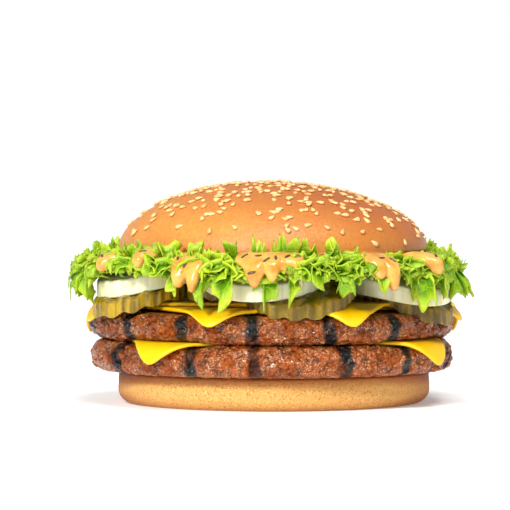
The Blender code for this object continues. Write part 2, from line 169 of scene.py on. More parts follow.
class StageSettings(bpy.types.PropertyGroup):
    camera_distance: length("Camera distance", "From the camera to the burger's middle", 1.3)
    camera_height: length("Camera height", "Height of the camera over the floor", 90 * MM)
    focal_length: FloatProperty(name="Focal length", description="In millimetres", default=262.2)
    white: share("White", "How pale the floor is", 0.95)
    glow: share("Glow", "Light that the floor gives off, so that it stays white in the distance", 0.22)
    sky: share("Sky", "How bright the surroundings are overhead", 0.32)
    key_power: FloatProperty(name="Key light", description="In watts a square metre", default=2.45)
    key_softness: FloatProperty(
        name="Key softness", description="Width of the key light", default=0.5, subtype="ANGLE"
    )
    front_power: FloatProperty(name="Front light", description="In watts", default=18)
    room: share("Room", "How bright the surroundings are behind the camera", 0.4)


# Shaders


class Socket:
    """A node's output in a Python expression. Arithmetic on it adds Math nodes."""

    def __init__(self, finish, socket):
        self.finish = finish
        self.socket = socket

    def math(self, operation, *values):
        return self.finish.node("ShaderNodeMath", {"operation": operation}, dict(enumerate(values)))

    def __add__(self, other):
        return self.math("ADD", self, other)

    def __sub__(self, other):
        return self.math("SUBTRACT", self, other)

    def __rsub__(self, other):
        return self.math("SUBTRACT", other, self)

    def __mul__(self, other):
        return self.math("MULTIPLY", self, other)

    def __truediv__(self, other):
        return self.math("DIVIDE", self, other)

    def __pow__(self, other):
        return self.math("POWER", self, other)

    __radd__ = __add__
    __rmul__ = __mul__

    def ramp(self, low, high):
        """0 below low, 1 above high and smooth between."""
        settings = {"interpolation_type": "SMOOTHSTEP"}
        sockets = {"Value": self, "From Min": low, "From Max": high}
        return self.finish.node("ShaderNodeMapRange", settings, sockets)


class Finish:
    """A material with a Principled shader, whose fixed values are set by name."""

    def __init__(self, name, **values):
        self.material = bpy.data.materials.new(name)
        self.material.use_nodes = True
        self.tree = self.material.node_tree
        self.shader = self.tree.nodes["Principled BSDF"]
        for key, value in values.items():
            self.shader.inputs[key.replace("_", " ").title().replace("Ior", "IOR")].default_value = value
        self.place = self.node("ShaderNodeTexCoord", {}, {}, "Object")

    def node(self, kind, settings, sockets, output=0):
        """Adds a node: its settings first, then its sockets' values or links. Returns one of its outputs."""
        made = self.tree.nodes.new(kind)
        for key, value in settings.items():
            setattr(made, key, value)
        for key, value in sockets.items():
            if isinstance(value, Socket):
                self.tree.links.new(value.socket, made.inputs[key])
            else:
                made.inputs[key].default_value = value
        return Socket(self, made.outputs[output])

    def noise(self, size, detail=2.0, roughness=0.5, stretch=(1, 1, 1)):
        """Noise from 0 to 1 with lumps of this size in metres."""
        place = self.node("ShaderNodeMapping", {}, {"Vector": self.place, "Scale": stretch})
        sockets = {"Vector": place, "Scale": 1 / size, "Detail": detail, "Roughness": roughness}
        return self.node("ShaderNodeTexNoise", {}, sockets)

    def cells(self, size, feature="F1"):
        """Distance to the nearest of scattered points that lie about size apart."""
        sockets = {"Vector": self.place, "Scale": 1 / size}
        return self.node("ShaderNodeTexVoronoi", {"feature": feature}, sockets)

    def attribute(self, name):
        return self.node("ShaderNodeAttribute", {"attribute_name": name}, {}, "Fac")

    def mix(self, factor, first, second):
        """A colour between two others."""
        first, second = (value if isinstance(value, Socket) else (*value[:3], 1) for value in (first, second))
        sockets = {0: factor, 6: first, 7: second}
        return self.node("ShaderNodeMix", {"data_type": "RGBA", "clamp_factor": True}, sockets, 2)

    def bump(self, height, distance, strength=1.0, under=None):
        """A bump of this height in metres where the height socket goes from 0 to 1."""
        sockets = {"Height": height, "Distance": distance, "Strength": strength}
        if under is not None:
            sockets["Normal"] = under
        return self.node("ShaderNodeBump", {}, sockets)

    def wear(self, **values):
        """Links what changes over the surface to the shader's sockets."""
        for key, value in values.items():
            self.tree.links.new(value.socket, self.shader.inputs[key.replace("_", " ").title()])
        return self.material


# Shapes


def noise(points, scale, seed):
    """Smooth noise from -1 to 1: a hashed value at each corner of a cubic lattice, blended by smoothsteps."""
    place = np.asarray(points) / scale
    cell = np.floor(place).astype(np.int64)
    blend = place - cell
    blend = blend * blend * (3 - 2 * blend)
    total = np.zeros(place.shape[:-1])
    for corner in itertools.product((0, 1), repeat=3):
        weight = np.prod(np.where(corner, blend, 1 - blend), axis=-1)
        total += weight * (hashed(cell + np.array(corner), seed) * 2 - 1)
    return total


def hashed(cell, seed):
    """A value from 0 to 1 for each lattice cell."""
    x, y, z = cell.transpose(-1, *range(cell.ndim - 1))
    mixed = (x * 73856093) ^ (y * 19349663) ^ (z * 83492791) ^ (seed * 40503)
    return (((mixed ^ (mixed >> 13)) * 1274126177) & 0x7FFFFFFF) / 0x7FFFFFFF


def granules(points, scale, seed):
    """Rounded grains from 0 to 1, by the distance to the nearest of one random point in each lattice cell."""
    place = np.asarray(points) / scale
    cell = np.floor(place).astype(np.int64)
    nearest = np.full(place.shape[:-1], 9.0)
    for offset in itertools.product((-1, 0, 1), repeat=3):
        near = cell + np.array(offset)
        point = near + np.stack([hashed(near, seed + axis) for axis in range(3)], axis=-1)
        nearest = np.minimum(nearest, np.sum((point - place) ** 2, axis=-1))
    return 1 - np.minimum(np.sqrt(nearest), 1)


def sag(radius):
    """How far the soft layers have dropped at this radius: nothing near the middle, then with the square."""
    return SAG_AT_RIM * np.clip((radius - SAG_START) / (RIM - SAG_START), 0, None) ** 2


def polar(radius, bearing, height):
    """Points at this radius, bearing in radians and height."""
    radius, bearing, height = np.broadcast_arrays(radius, bearing, height)
    return np.stack([radius * np.sin(bearing), -radius * np.cos(bearing), height], axis=-1)


def full_turn(count):
    return np.arange(count) * (2 * math.pi / count)


def bezier(corners, t):
    """Points of the curve with these three corners at the shares t along it."""
    start, knee, end = (np.array(corner) for corner in corners)
    t = t[..., None]
    return (1 - t) ** 2 * start + 2 * t * (1 - t) * knee + t**2 * end


def hump(place, middle, width):
    """1 at the middle, falling smoothly to nothing at twice the width from it."""
    return np.exp(-(((place - middle) / width) ** 2))


def unit(vectors):
    return vectors / np.maximum(np.linalg.norm(vectors, axis=-1, keepdims=True), 1e-12)


def ring_faces(count, around):
    """Quads between closed rings of points, and a fan of triangles to a first and a last middle point."""
    k = np.arange(around)
    n = (k + 1) % around
    ring = np.arange(count - 1)[:, None] * around
    quads = np.stack([ring + k, ring + n, ring + around + n, ring + around + k], axis=-1).reshape(-1, 4)
    first, last, top = count * around, count * around + 1, (count - 1) * around
    low = np.stack([np.full(around, first), n, k], axis=-1)
    high = np.stack([np.full(around, last), top + k, top + n], axis=-1)
    return quads, np.concatenate([low, high])


def joined(rings, way):
    """Points and faces of many small closed bodies, each made of rings of points.

    way is 1, or -1 to turn over the faces of bodies whose rings run the other way round.
    """
    count, steps, around, _ = rings.shape
    middles = np.stack([rings[:, 0].mean(axis=1), rings[:, -1].mean(axis=1)], axis=1)
    points = np.concatenate([rings.reshape(count, -1, 3), middles], axis=1)
    offset = (np.arange(count) * points.shape[1])[:, None, None]
    faces = [(part[:, ::way] + offset).reshape(-1, part.shape[1]) for part in ring_faces(steps, around)]
    return points.reshape(-1, 3), *faces


def sheet_faces(rows, columns):
    """Quads of an upper grid, of a lower grid that faces the other way, and of the border between them."""
    count = rows * columns
    index = np.arange(count).reshape(rows, columns)
    a, b, c, d = index[:-1, :-1], index[1:, :-1], index[1:, 1:], index[:-1, 1:]
    upper = np.stack([a, b, c, d], axis=-1).reshape(-1, 4)
    lower = upper[:, ::-1] + count
    border = np.concatenate([index[0, :-1], index[:-1, -1], index[-1, :0:-1], index[:0:-1, 0]])
    after = np.roll(border, -1)
    side = np.stack([border, after, after + count, border + count], axis=-1)
    return np.concatenate([upper, lower, side])


def add_piece(name, points, quads, triangles, finish, slot, nodes, **attributes):
    """A smooth closed piece in place of its CAD nodes, with numbers for its material at each point."""
    mesh = bpy.data.meshes.new(name)
    mesh.vertices.add(len(points))
    mesh.vertices.foreach_set("co", points.astype(np.float32).ravel())
    corners = np.concatenate([quads.ravel(), triangles.ravel()]).astype(np.int32)
    sizes = np.concatenate([np.full(len(quads), 4), np.full(len(triangles), 3)])
    mesh.loops.add(len(corners))
    mesh.loops.foreach_set("vertex_index", corners)
    mesh.polygons.add(len(sizes))
    mesh.polygons.foreach_set("loop_start", (np.cumsum(sizes) - sizes).astype(np.int32))
    mesh.update(calc_edges=True)
    mesh.shade_smooth()
    for key, values in attributes.items():
        layer = mesh.attributes.new(key, "FLOAT", "POINT")
        layer.data.foreach_set("value", np.asarray(values, dtype=np.float32).ravel())
    mesh.materials.append(finish)
    piece = bpy.data.objects.new(name, mesh)
    bpy.context.scene.collection.objects.link(piece)
    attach(piece, BODY)
    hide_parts(*nodes)
    return piece


def add_turned(name, rings, finish, slot, **attributes):
    """A closed piece from rings of points, in place of the CAD node that its name starts with."""
    count, around, _ = rings.shape
    quads, triangles = ring_faces(count, around)
    middles = np.stack([rings[0].mean(axis=0), rings[-1].mean(axis=0)])
    points = np.concatenate([rings.reshape(-1, 3), middles])
    filled = {
        key: np.concatenate([value.ravel(), value[[0, -1]].mean(axis=1)])
        for key, value in attributes.items()
    }
    return add_piece(f"{name}_piece", points, quads, triangles, finish, slot, [name], **filled)


# Bread


def heel_rings(around, steps):
    """The heel: a turned profile with a rounded foot, nearly upright sides and a flat cut top.

    Its points are pushed in and out by noise at three sizes, the finest of which makes the crumb's pores.
    """
    radius, height, foot = (HEEL_HIGH[0] - HEEL_LOW[0]) / 2, HEEL_HIGH[2], HEEL_FOOT
    lean, cut = 0.3 * MM, 1.2 * MM
    arc = np.linspace(0, math.pi / 2, steps)
    side = np.linspace(0, 1, steps)[1:]
    profile_r = [radius - foot + foot * np.sin(arc), radius - lean * side]
    profile_z = [foot - foot * np.cos(arc), foot + (height - cut - foot) * side]
    top = np.linspace(0, math.pi / 2, 8)[1:]
    profile_r.append(radius - lean - cut * (1 - np.cos(top)))
    profile_z.append(height - cut * (1 - np.sin(top)))
    inner = np.linspace(0.15, 0.95, 9)
    profile_r = np.concatenate([inner * (radius - foot), *profile_r, inner[::-1] * (radius - lean - cut)])
    profile_z = np.concatenate([0 * inner, *profile_z, 0 * inner + height])
    turn = full_turn(around)
    rings = polar(profile_r[:, None], turn[None, :], profile_z[:, None])
    uneven = 0.5 * MM * noise(polar(HEEL_HIGH[0], turn, 0.0), 30 * MM, 3) - 0.25 * MM
    lumps = 0.12 * MM * noise(rings, 4 * MM, 5) + 0.07 * MM * noise(rings, 1.1 * MM, 6)
    outward = np.clip((profile_r / radius)[:, None], 0, 1)
    grown = 1 + (uneven[None, :] * outward + lumps * outward**8 - 0.1 * MM * outward) / radius
    rings[..., :2] *= grown[..., None]
    return rings


def crown_surface(settings, bearing, rise):
    """A point on the crown's dome: rise runs from 0 at its widest, along an ellipse, to 1 at its top.

    The dome leans a little to the left, and is uneven by less than a millimetre.
    """
    angle = rise * math.pi / 2
    dome = settings.crown_height - settings.crown_edge
    height = CROWN_LOW[2] + settings.crown_edge + dome * np.sin(angle)
    point = polar(settings.crown_radius * np.maximum(np.cos(angle), 0) ** 1.04, bearing, height)
    point[..., 0] -= settings.crown_lean * np.sin(angle) ** 2
    uneven = 0.7 * MM * noise(point, 26 * MM, 11)
    point[..., :2] *= 1 + uneven[..., None] / settings.crown_radius
    return point


def crown_rings(settings, around, steps):
    """The crown: a flat underside, a rounded lower edge and the dome."""
    turn = full_turn(around)
    inner = np.linspace(0.1, 0.95, 6)[:, None] * (settings.crown_radius - settings.crown_edge)
    under = polar(inner, turn[None, :], CROWN_LOW[2])
    arc = np.linspace(0, math.pi / 2, 10)[:-1, None]
    edge_radius = settings.crown_radius - settings.crown_edge * (1 - np.sin(arc))
    edge = polar(edge_radius, turn[None, :], CROWN_LOW[2] + settings.crown_edge * (1 - np.cos(arc)))
    rise = np.linspace(0, 0.985, steps)[:, None]
    dome = crown_surface(settings, turn[None, :], rise)
    return np.concatenate([under, edge, dome])


def crust_material(settings):
    """Baked crust: golden low down and browner towards the top, and darker to the right as painted shade, with
    soft patches and a fine skin.
    """
    finish = Finish(
        "crust", roughness=0.42, specular_ior_level=0.4, subsurface_weight=0.08, subsurface_scale=0.004
    )
    # The attribute holds the bake towards the top and a painted shade towards the right, blurred by broad
    # noise.
    baked = finish.attribute("baked") + (finish.noise(0.03, 3) - 0.5) * 0.4
    patches = finish.noise(0.009, 4, 0.6).ramp(0.25, 0.8)
    tone = finish.mix(baked.ramp(0.1, 0.95), settings.golden, settings.brown)
    tone = finish.mix(patches * 0.26, tone, settings.brown)
    tone = finish.mix(finish.noise(0.0012, 3, 0.7).ramp(0.35, 0.7) * 0.36, tone, settings.brown)
    skin = finish.bump(finish.noise(0.0012, 3, 0.6), 0.24 * MM)
    rough = 0.36 + finish.noise(0.006, 3) * 0.14
    return finish.wear(base_color=tone, roughness=rough, normal=skin)


def crumb_material(settings):
    """Toasted crumb: a pale golden side full of fine darker pores, with painted shade browning its top edge,
    its left and right ends and its foot; the top edge is partly toasted too.
    """
    finish = Finish(
        "crumb", roughness=0.62, specular_ior_level=0.3, subsurface_weight=0.05, subsurface_scale=0.002
    )
    pores = finish.noise(0.0006, 3, 0.8).ramp(0.36, 0.58)
    holes = finish.cells(0.0012).ramp(0.12, 0.42)
    broad = finish.noise(0.02, 3).ramp(0.35, 0.8)
    tone = finish.mix(pores * 0.45 + holes * 0.55, settings.pore, settings.crumb)
    tone = finish.mix(broad * 0.12, tone, settings.pore)
    # Painted shade: browner along the top edge under the patty (partly a toasted edge), at the left and right
    # ends and at the foot, then darker still where it is strongest, along the top edge.
    tone = finish.mix(finish.attribute("baked").ramp(0.05, 1.0) * 0.95, tone, settings.brown)
    dark = tuple(value * 0.4 for value in settings.brown)
    tone = finish.mix(finish.attribute("baked").ramp(0.7, 1.4) * 0.8, tone, dark)
    normal = finish.bump(pores * 0.6 + holes * 0.4, 0.22 * MM)
    return finish.wear(base_color=tone, normal=normal)


class BURGER_OT_heel(bpy.types.Operator):
    """Adds the lower half of the bun"""

    bl_idname = "burger.heel"
    bl_label = "Heel"

    def execute(self, context):
        settings = context.scene.burger_bread
        rings = heel_rings(560, 26)
        # Painted shade: darker at the left and right ends, low at the foot, and towards the top edge, where it
        # is partly a toasted edge and partly the patty's shade.
        ends = (np.abs(rings[..., 0]) / (HEEL_HIGH[0] + 4 * MM)) ** 6
        foot = 0.55 * np.clip(1 - rings[..., 2] / HEEL_FOOT, 0, 1)
        baked = np.clip((rings[..., 2] - 6.5 * MM) / (5 * MM), 0, 1) + ends + foot
        add_turned("heel", rings, crumb_material(settings), "crust", baked=baked)
        return {"FINISHED"}


class BURGER_OT_crown(bpy.types.Operator):
    """Adds the upper half of the bun"""

    bl_idname = "burger.crown"
    bl_label = "Crown"

    def execute(self, context):
        settings = context.scene.burger_bread
        rings = crown_rings(settings, 320, 110)
        rise = (rings[..., 2] - CROWN_LOW[2]) / (CROWN_HIGH[2] - CROWN_LOW[2])
        # Browner towards the top, as baked, and darker towards the right, a painted shade.
        baked = 0.75 * rise + 0.45 * np.clip(rings[..., 0] / settings.crown_radius, -0.3, 1)
        add_turned("crown", rings, crust_material(settings), "crust", baked=baked)
        return {"FINISHED"}


def seed_places(settings):
    """Bearing, rise and turn of each seed, by a golden-angle spiral with seeded jitter.

    The seeds thin out down the dome's sides, less so on the right.
    """
    count = settings.seed_count
    draw = np.random.default_rng(7)
    order = (np.arange(count) + 0.5) / count
    bearing = np.arange(count) * math.radians(137.508) + draw.uniform(-0.25, 0.25, count)
    out = 0.985 * order**0.5 + draw.uniform(-0.03, 0.03, count)
    rise = np.arccos(np.clip(out, 0.02, 0.992)) / (math.pi / 2)
    kept = draw.uniform(0, 1, count) < 1.15 - 0.85 * np.clip(out, 0, 1) ** 7 + 0.4 * np.sin(bearing - 0.3)
    return bearing[kept], rise[kept], draw.uniform(0, math.pi, count)[kept]


def seed_points(settings, around, steps):
    """Drops: an ellipsoid that narrows to one end, laid on the dome's surface and turned about its normal."""
    bearing, rise, turn = seed_places(settings)
    here = crown_surface(settings, bearing, rise)
    along = unit(crown_surface(settings, bearing + 0.01, rise) - here)
    normal = unit(np.cross(along, crown_surface(settings, bearing, rise + 0.01) - here))
    side = np.cross(normal, along)
    forward = along * np.cos(turn)[:, None] + side * np.sin(turn)[:, None]
    sideways = np.cross(normal, forward)
    draw = np.random.default_rng(17)
    size = settings.seed_length * draw.uniform(0.85, 1.1, (len(turn), 1, 1))
    lift = draw.uniform(-0.1, 0.3, (len(turn), 1, 1)) * MM
    arc = np.linspace(-math.pi / 2, math.pi / 2, steps + 2)[1:-1][:, None]
    x = 0.5 * np.sin(arc) + 0 * full_turn(around)
    girth = 0.5 * np.cos(arc) * (1 - 0.55 * np.sin(arc)) * 0.54
    y = girth * np.cos(full_turn(around))
    z = girth * np.sin(full_turn(around)) * 0.6
    drop = forward[:, None, None] * (x * size)[..., None] + sideways[:, None, None] * (y * size)[..., None]
    return here[:, None, None] + drop + normal[:, None, None] * (z * size + lift + 0.25 * MM)[..., None]


def sesame_material(settings):
    """Cream seeds, each a little different, with a faint grain."""
    finish = Finish("sesame", roughness=0.45, subsurface_weight=0.15, subsurface_scale=0.001)
    toasted = tuple(value * factor for value, factor in zip(settings.seed, (0.86, 0.68, 0.42)))
    tone = finish.mix(finish.attribute("toast"), settings.seed, toasted)
    return finish.wear(base_color=tone, normal=finish.bump(finish.noise(0.0008, 2), 0.05 * MM))


class BURGER_OT_sesame(bpy.types.Operator):
    """Scatters the sesame seeds over the crown"""

    bl_idname = "burger.sesame"
    bl_label = "Sesame"

    def execute(self, context):
        settings = context.scene.burger_bread
        rings = seed_points(settings, 10, 6)
        points, quads, triangles = joined(rings, -1)
        toast = np.random.default_rng(23).uniform(0, 1, len(rings)) ** 2
        toast = np.repeat(toast, len(points) // len(rings))
        finish = sesame_material(settings)
        add_piece("sesame_seeds", points, quads, triangles, finish, "sesame", ["crown"], toast=toast)
        return {"FINISHED"}


# Beef and cheese

# The bearings in degrees of the grill marks that show, and the spacing of those further round.
GRILL_MARKS = {"patty_lower": (-58, -27.5, -6, 23, 46), "patty_upper": (-53, -29.5, -7, 17.5, 41)}
MARK_SPACING = 25.7
GRAIN_SIZE, GRAIN_HEIGHT = 2.8 * MM, 1.7 * MM
FINE_SIZE, FINE_HEIGHT = 1.2 * MM, 0.8 * MM


def patty_rings(settings, name, level, dome, seed, around, steps):
    """A patty: flat faces, a bulging craggy rim and an uneven outline. dome lowers the upper face's edge.

    The rim is pushed outwards by smooth noise for the lumps and by granules for the grain of the mince.
    """
    half, rim = settings.thickness / 2, 6 * MM
    flat = settings.radius - rim
    inner = np.linspace(0.1, 0.98, 12) * flat
    arc = np.radians(np.linspace(-89, 89, steps))
    bulge = np.cos(arc) ** settings.bluntness
    rise = np.sign(arc) * np.abs(np.sin(arc)) ** settings.bluntness
    radii = np.concatenate([inner, flat + rim * bulge, inner[::-1]])[:, None]
    heights = np.concatenate([0 * inner - half, half * rise, 0 * inner + half])[:, None]
    turn = full_turn(around)[None, :]
    place = polar(radii, turn, level + half + heights)
    outward = np.clip((radii - flat) / rim, 0, 1)
    outline = 1.1 * MM * noise(polar(settings.radius, turn, 0.0), 24 * MM, seed)
    lumps = settings.crag * noise(place, 5.5 * MM, seed + 1) - 0.4 * MM
    grain = GRAIN_HEIGHT * (granules(place, GRAIN_SIZE, seed + 2) - 0.55)
    fine = FINE_HEIGHT * (granules(place, FINE_SIZE, seed + 5) - 0.55)
    reach = radii + outward * (outline + lumps) + outward**0.5 * (grain + fine)
    grooves = np.maximum(0, char_mask(place, name, seed) - 0.2) * 0.35 * MM
    rings = polar(reach - grooves, turn, place[..., 2])
    rings[..., 2] -= dome * (radii / RIM) ** 2 * (0.5 + 0.5 * heights / half)
    rings[..., 2] += (1 - outward) * np.sign(heights) * 0.25 * (grain + fine)
    facing = 1 if name == "patty_lower" else -1
    rings[..., 2] += closed_gap(place, radii) * np.clip(facing * heights / half, 0, 1) * facing
    return rings


def closed_gap(place, radii):
    """How far the patties' rims swell towards each other, where the slice between them is short."""
    turn, towards, across = SLICES["cheese_lower"][:3]
    bearing = np.arctan2(place[..., 0], -place[..., 1])
    edge = np.full(bearing.shape, 1.0)
    half_side, reached, rim = 51 * MM, 57 * MM, 58.5 * MM
    shifts = (towards + across, across - towards, -towards - across, towards - across)
    for quarter, shift in enumerate(shifts):
        away = np.cos(bearing - math.radians(turn + 45 + 90 * quarter))
        side = (half_side + shift / math.sqrt(2)) / np.maximum(away, 0.2)
        edge = np.where(away > 0.2, np.minimum(edge, side), edge)
    short = np.clip((reached - edge) / (3 * MM), 0, 1)
    return 1.0 * MM * short * hump(radii, rim, 3.5 * MM)


def char_mask(points, name, seed):
    """Grill marks that run over the rim at even bearings: 1 in a mark and 0 outside, with ragged edges."""
    bearing = np.degrees(np.arctan2(points[..., 0], -points[..., 1]))
    marks = np.array(GRILL_MARKS[name])
    left = marks[0] - MARK_SPACING * np.arange(1, 6)
    right = marks[-1] + MARK_SPACING * np.arange(1, 5)
    wander = 0.9 * noise(points, 7 * MM, seed + 9) + 0.7 * noise(points, 1.5 * MM, seed + 10)
    centres = np.concatenate([marks, left, right])
    away = np.abs((bearing[..., None] + wander[..., None] - centres + 180) % 360 - 180).min(axis=-1)
    worn = 0.95 + 0.3 * noise(points, 4 * MM, seed + 11)
    return np.clip((2.5 - away) / 1.1, 0, 1) * np.clip(worn, 0, 1)


def beef_material(settings):
    """Seared mince: reddish brown with painted shade in its hollows, painted glints, charred marks, and a moist
    broken gloss.
    """
    finish = Finish(
        "beef", roughness=0.3, specular_ior_level=0.2, subsurface_weight=0.04, subsurface_scale=0.001
    )
    # Painted shade: darker in the hollows between the grains.
    hollows = finish.attribute("grain").ramp(0.18, 0.62)
    tone = finish.mix(hollows, settings.dark, settings.brown)
    speckle = finish.noise(0.0011, 3, 0.7).ramp(0.4, 0.62)
    tone = finish.mix(speckle * 0.25, tone, settings.dark)
    # Painted glints: small pale flecks of highlight, in clusters.
    lighter = tuple(min(1, value * factor) for value, factor in zip(settings.brown, (2.0, 5.5, 24)))
    glints = finish.noise(0.0006, 3, 0.6).ramp(0.53, 0.62) * finish.noise(0.005, 3, 0.6).ramp(0.34, 0.6)
    tone = finish.mix(glints * 0.8, tone, lighter)
    tone = finish.mix(finish.noise(0.013, 3).ramp(0.45, 0.75) * 0.5, tone, settings.dark)
    tone = finish.mix(finish.attribute("char"), tone, settings.char)
    rough = 0.16 + finish.noise(0.0016, 4, 0.7).ramp(0.3, 0.7) * 0.26
    wet = finish.noise(0.005, 3, 0.6).ramp(0.38, 0.56)
    grain = finish.bump(finish.noise(0.0013, 3, 0.6), 1.3 * MM)
    normal = finish.bump(finish.cells(0.0018), 1.2 * MM, 1.0, grain)
    finish.shader.inputs["Coat Roughness"].default_value = 0.07
    return finish.wear(base_color=tone, roughness=rough, coat_weight=wet * 0.5, normal=normal)


class BURGER_OT_patties(bpy.types.Operator):
    """Adds both beef patties, one below the other"""

    bl_idname = "burger.patties"
    bl_label = "Patties"

    def execute(self, context):
        settings = context.scene.burger_beef
        finish = beef_material(settings)
        for name, level, dome, seed in (
            ("patty_lower", LOWER_BEEF, 0, 21),
            ("patty_upper", UPPER_BEEF, settings.dome, 31),
        ):
            rings = patty_rings(settings, name, level, dome, seed, 900, 72)
            grain = 0.6 * granules(rings, GRAIN_SIZE, seed + 2) + 0.4 * granules(rings, FINE_SIZE, seed + 5)
            add_turned(name, rings, finish, "beef", char=char_mask(rings, name, seed), grain=grain)
        return {"FINISHED"}


# Each slice: the bearing of one corner, how far past the middle it lies towards that corner and towards the
# next one to the right, the patty that it lies on, how many slices are below it, and what it has over the
# usual half side.
SLICES = {
    "cheese_lower": (-36.5, -3 * MM, -2 * MM, LOWER_BEEF, 0, 1.5 * MM),
    "cheese_upper": (-16.5, -2.8 * MM, -2.8 * MM, UPPER_BEEF, 0, 0),
    "cheese_top": (-69, -2.8 * MM, -2.8 * MM, UPPER_BEEF, 1, 0),
}
BEND = 1.45
DROP_START, DROP_LENGTH = 55.5 * MM, 5 * MM
DROP_FRONT, DROP_DEPTH = -8 * MM, 12 * MM


def draped(settings, place, offset, dome):
    """Folds flat points down over a patty's rim, keeping their distance from the middle along the sheet.

    Up to the bend's start the sheet lies on the patty, then it bends down in an arc as far as BEND, and the
    rest hangs straight. offset is the height over the patty's surface.
    """
    x, y = place[..., 0], place[..., 1]
    along = np.hypot(x, y)
    flat = np.minimum(along, settings.bend_start)
    bend = np.minimum((along - flat) / settings.bend_radius, BEND)
    straight = along - flat - bend * settings.bend_radius
    arc = settings.bend_radius + offset
    radius = flat + arc * np.sin(bend) + straight * np.cos(bend)
    height = offset - dome * (flat / RIM) ** 2 - arc * (1 - np.cos(bend)) - straight * np.sin(bend)
    return polar(radius, np.arctan2(x, -y), height)


def cheese_rings(settings, placing, below, dome, around):
    """A square with rounded corners, by a superellipse, and a rounded edge, draped over the rim.

    Where it lies on another slice, it drops by that slice's thickness past its edge.
    """
    turn, towards, across, extra = placing
    first, second = math.radians(turn), math.radians(turn + 90)
    centre = polar(towards, first, 0.0) + polar(across, second, 0.0)
    angle = full_turn(around)
    power = 22
    half = settings.side / 2 + extra - 0.2 * MM
    outline = half * (np.abs(np.cos(angle)) ** power + np.abs(np.sin(angle)) ** power) ** (-1 / power)
    half_thick = settings.thickness / 2
    inner = 1 - (1 - np.linspace(0.05, 1, 48)) ** 1.5
    arc = np.linspace(-math.pi / 2, math.pi / 2, 9)
    reach = np.concatenate([inner * (1 - half_thick / half), 1 - half_thick / half * (1 - np.cos(arc[1:-1]))])
    reach = np.concatenate([reach, inner[::-1] * (1 - half_thick / half)])[:, None]
    side = np.concatenate([0 * inner - 1, np.sin(arc[1:-1]), 0 * inner + 1])[:, None]
    x, y = reach * outline * np.cos(angle), reach * outline * np.sin(angle)
    ripple = 0.35 * MM * reach**6 * noise(np.stack([x, y, 0 * x], axis=-1), 14 * MM, int(abs(turn)))
    heading = math.radians(45 - turn)
    place_x = centre[0] + x * math.cos(heading) - y * math.sin(heading)
    place_y = centre[1] - x * math.sin(heading) - y * math.cos(heading)
    drop = below * (settings.thickness + 0.6 * GAP)
    drop = drop * np.clip((np.hypot(place_x, place_y) - DROP_START) / DROP_LENGTH, 0, 1)
    drop = drop * np.clip((DROP_FRONT - place_y) / DROP_DEPTH, 0, 1)
    offset = 1.8 * GAP + below * (settings.thickness + 0.8 * GAP)
    height = offset + half_thick + side * half_thick + np.maximum(ripple, 0) - drop
    return draped(settings, np.stack([place_x, place_y], axis=-1), height, dome)[:, ::-1]


def cheese_material(settings):
    """Smooth processed cheese: even yellow with a soft sheen and very faint unevenness."""
    finish = Finish("cheese", roughness=0.36, subsurface_weight=0.25, subsurface_scale=0.004)
    deeper = tuple(value * factor for value, factor in zip(settings.yellow, (0.98, 0.88, 0.6)))
    tone = finish.mix(finish.noise(0.011, 3).ramp(0.35, 0.8) * 0.5, settings.yellow, deeper)
    rough = 0.3 + finish.noise(0.004, 3) * 0.16
    normal = finish.bump(finish.noise(0.005, 3), 0.12 * MM)
    return finish.wear(base_color=tone, roughness=rough, normal=normal)


class BURGER_OT_cheese(bpy.types.Operator):
    """Adds the slices of cheese"""

    bl_idname = "burger.cheese"
    bl_label = "Cheese"

    def execute(self, context):
        settings = context.scene.burger_cheese
        beef = context.scene.burger_beef
        finish = cheese_material(settings)
        for name, (turn, towards, across, level, below, extra) in SLICES.items():
            dome = beef.dome * (level == UPPER_BEEF)
            rings = cheese_rings(settings, (turn, towards, across, extra), below, dome, 300)
            rings[..., 2] += level + beef.thickness
            add_turned(name, rings, finish, "cheese")
        return {"FINISHED"}


# Pickles and onions

# Each slice: (x, y, radius, level, tilt_x, tilt_y, hang), which are its middle, its radius, the height of its
# underside at the burger's middle, its slopes to the right and to the back, and how many times over it sags.
# AGED says how far each pickle is darkened towards the colour of its skin.
PICKLES = [
    (-45.5 * MM, -25 * MM, 16.5 * MM, PICKLE_LEVEL, 0, 0, 0.8),
    (9 * MM, -46 * MM, 18 * MM, PICKLE_LEVEL + 0.3 * MM, 0.1, 0.03, 1.0),
    (46 * MM, -23 * MM, 15.4 * MM, PICKLE_LEVEL - 0.6 * MM, -0.02, 0.1, 1.0),
    (33 * MM, 34 * MM, 16 * MM, PICKLE_LEVEL + 0.5 * MM, 0, 0, 0.4),
    (-19 * MM, 42 * MM, 16 * MM, PICKLE_LEVEL + 0.5 * MM, 0, 0, 0.4),
    (-19 * MM, -36 * MM, 10.5 * MM, PICKLE_LEVEL + 0.6 * MM, 0, 0, 0.7),
]
AGED = (0.0, 0.75, 0.6, 0.3, 0.2, 0.8)
ONIONS = [
    (-41.6 * MM, -20.6 * MM, 19 * MM, ONION_LEVEL - 0.9 * MM, 0, 0, 0.85),
    (-3 * MM, -40 * MM, 22 * MM, ONION_LEVEL - 0.3 * MM, 0.03, 0.06, 1.0),
    (42.2 * MM, -25 * MM, 18.6 * MM, ONION_LEVEL - 2.6 * MM, 0.07, 0.06, 0.85),
    (25 * MM, 33 * MM, 19.5 * MM, ONION_LEVEL + 0.5 * MM, 0, 0, 0.4),
    (-20 * MM, 34.5 * MM, 19.2 * MM, ONION_LEVEL + 0.5 * MM, 0, 0, 0.42),
]


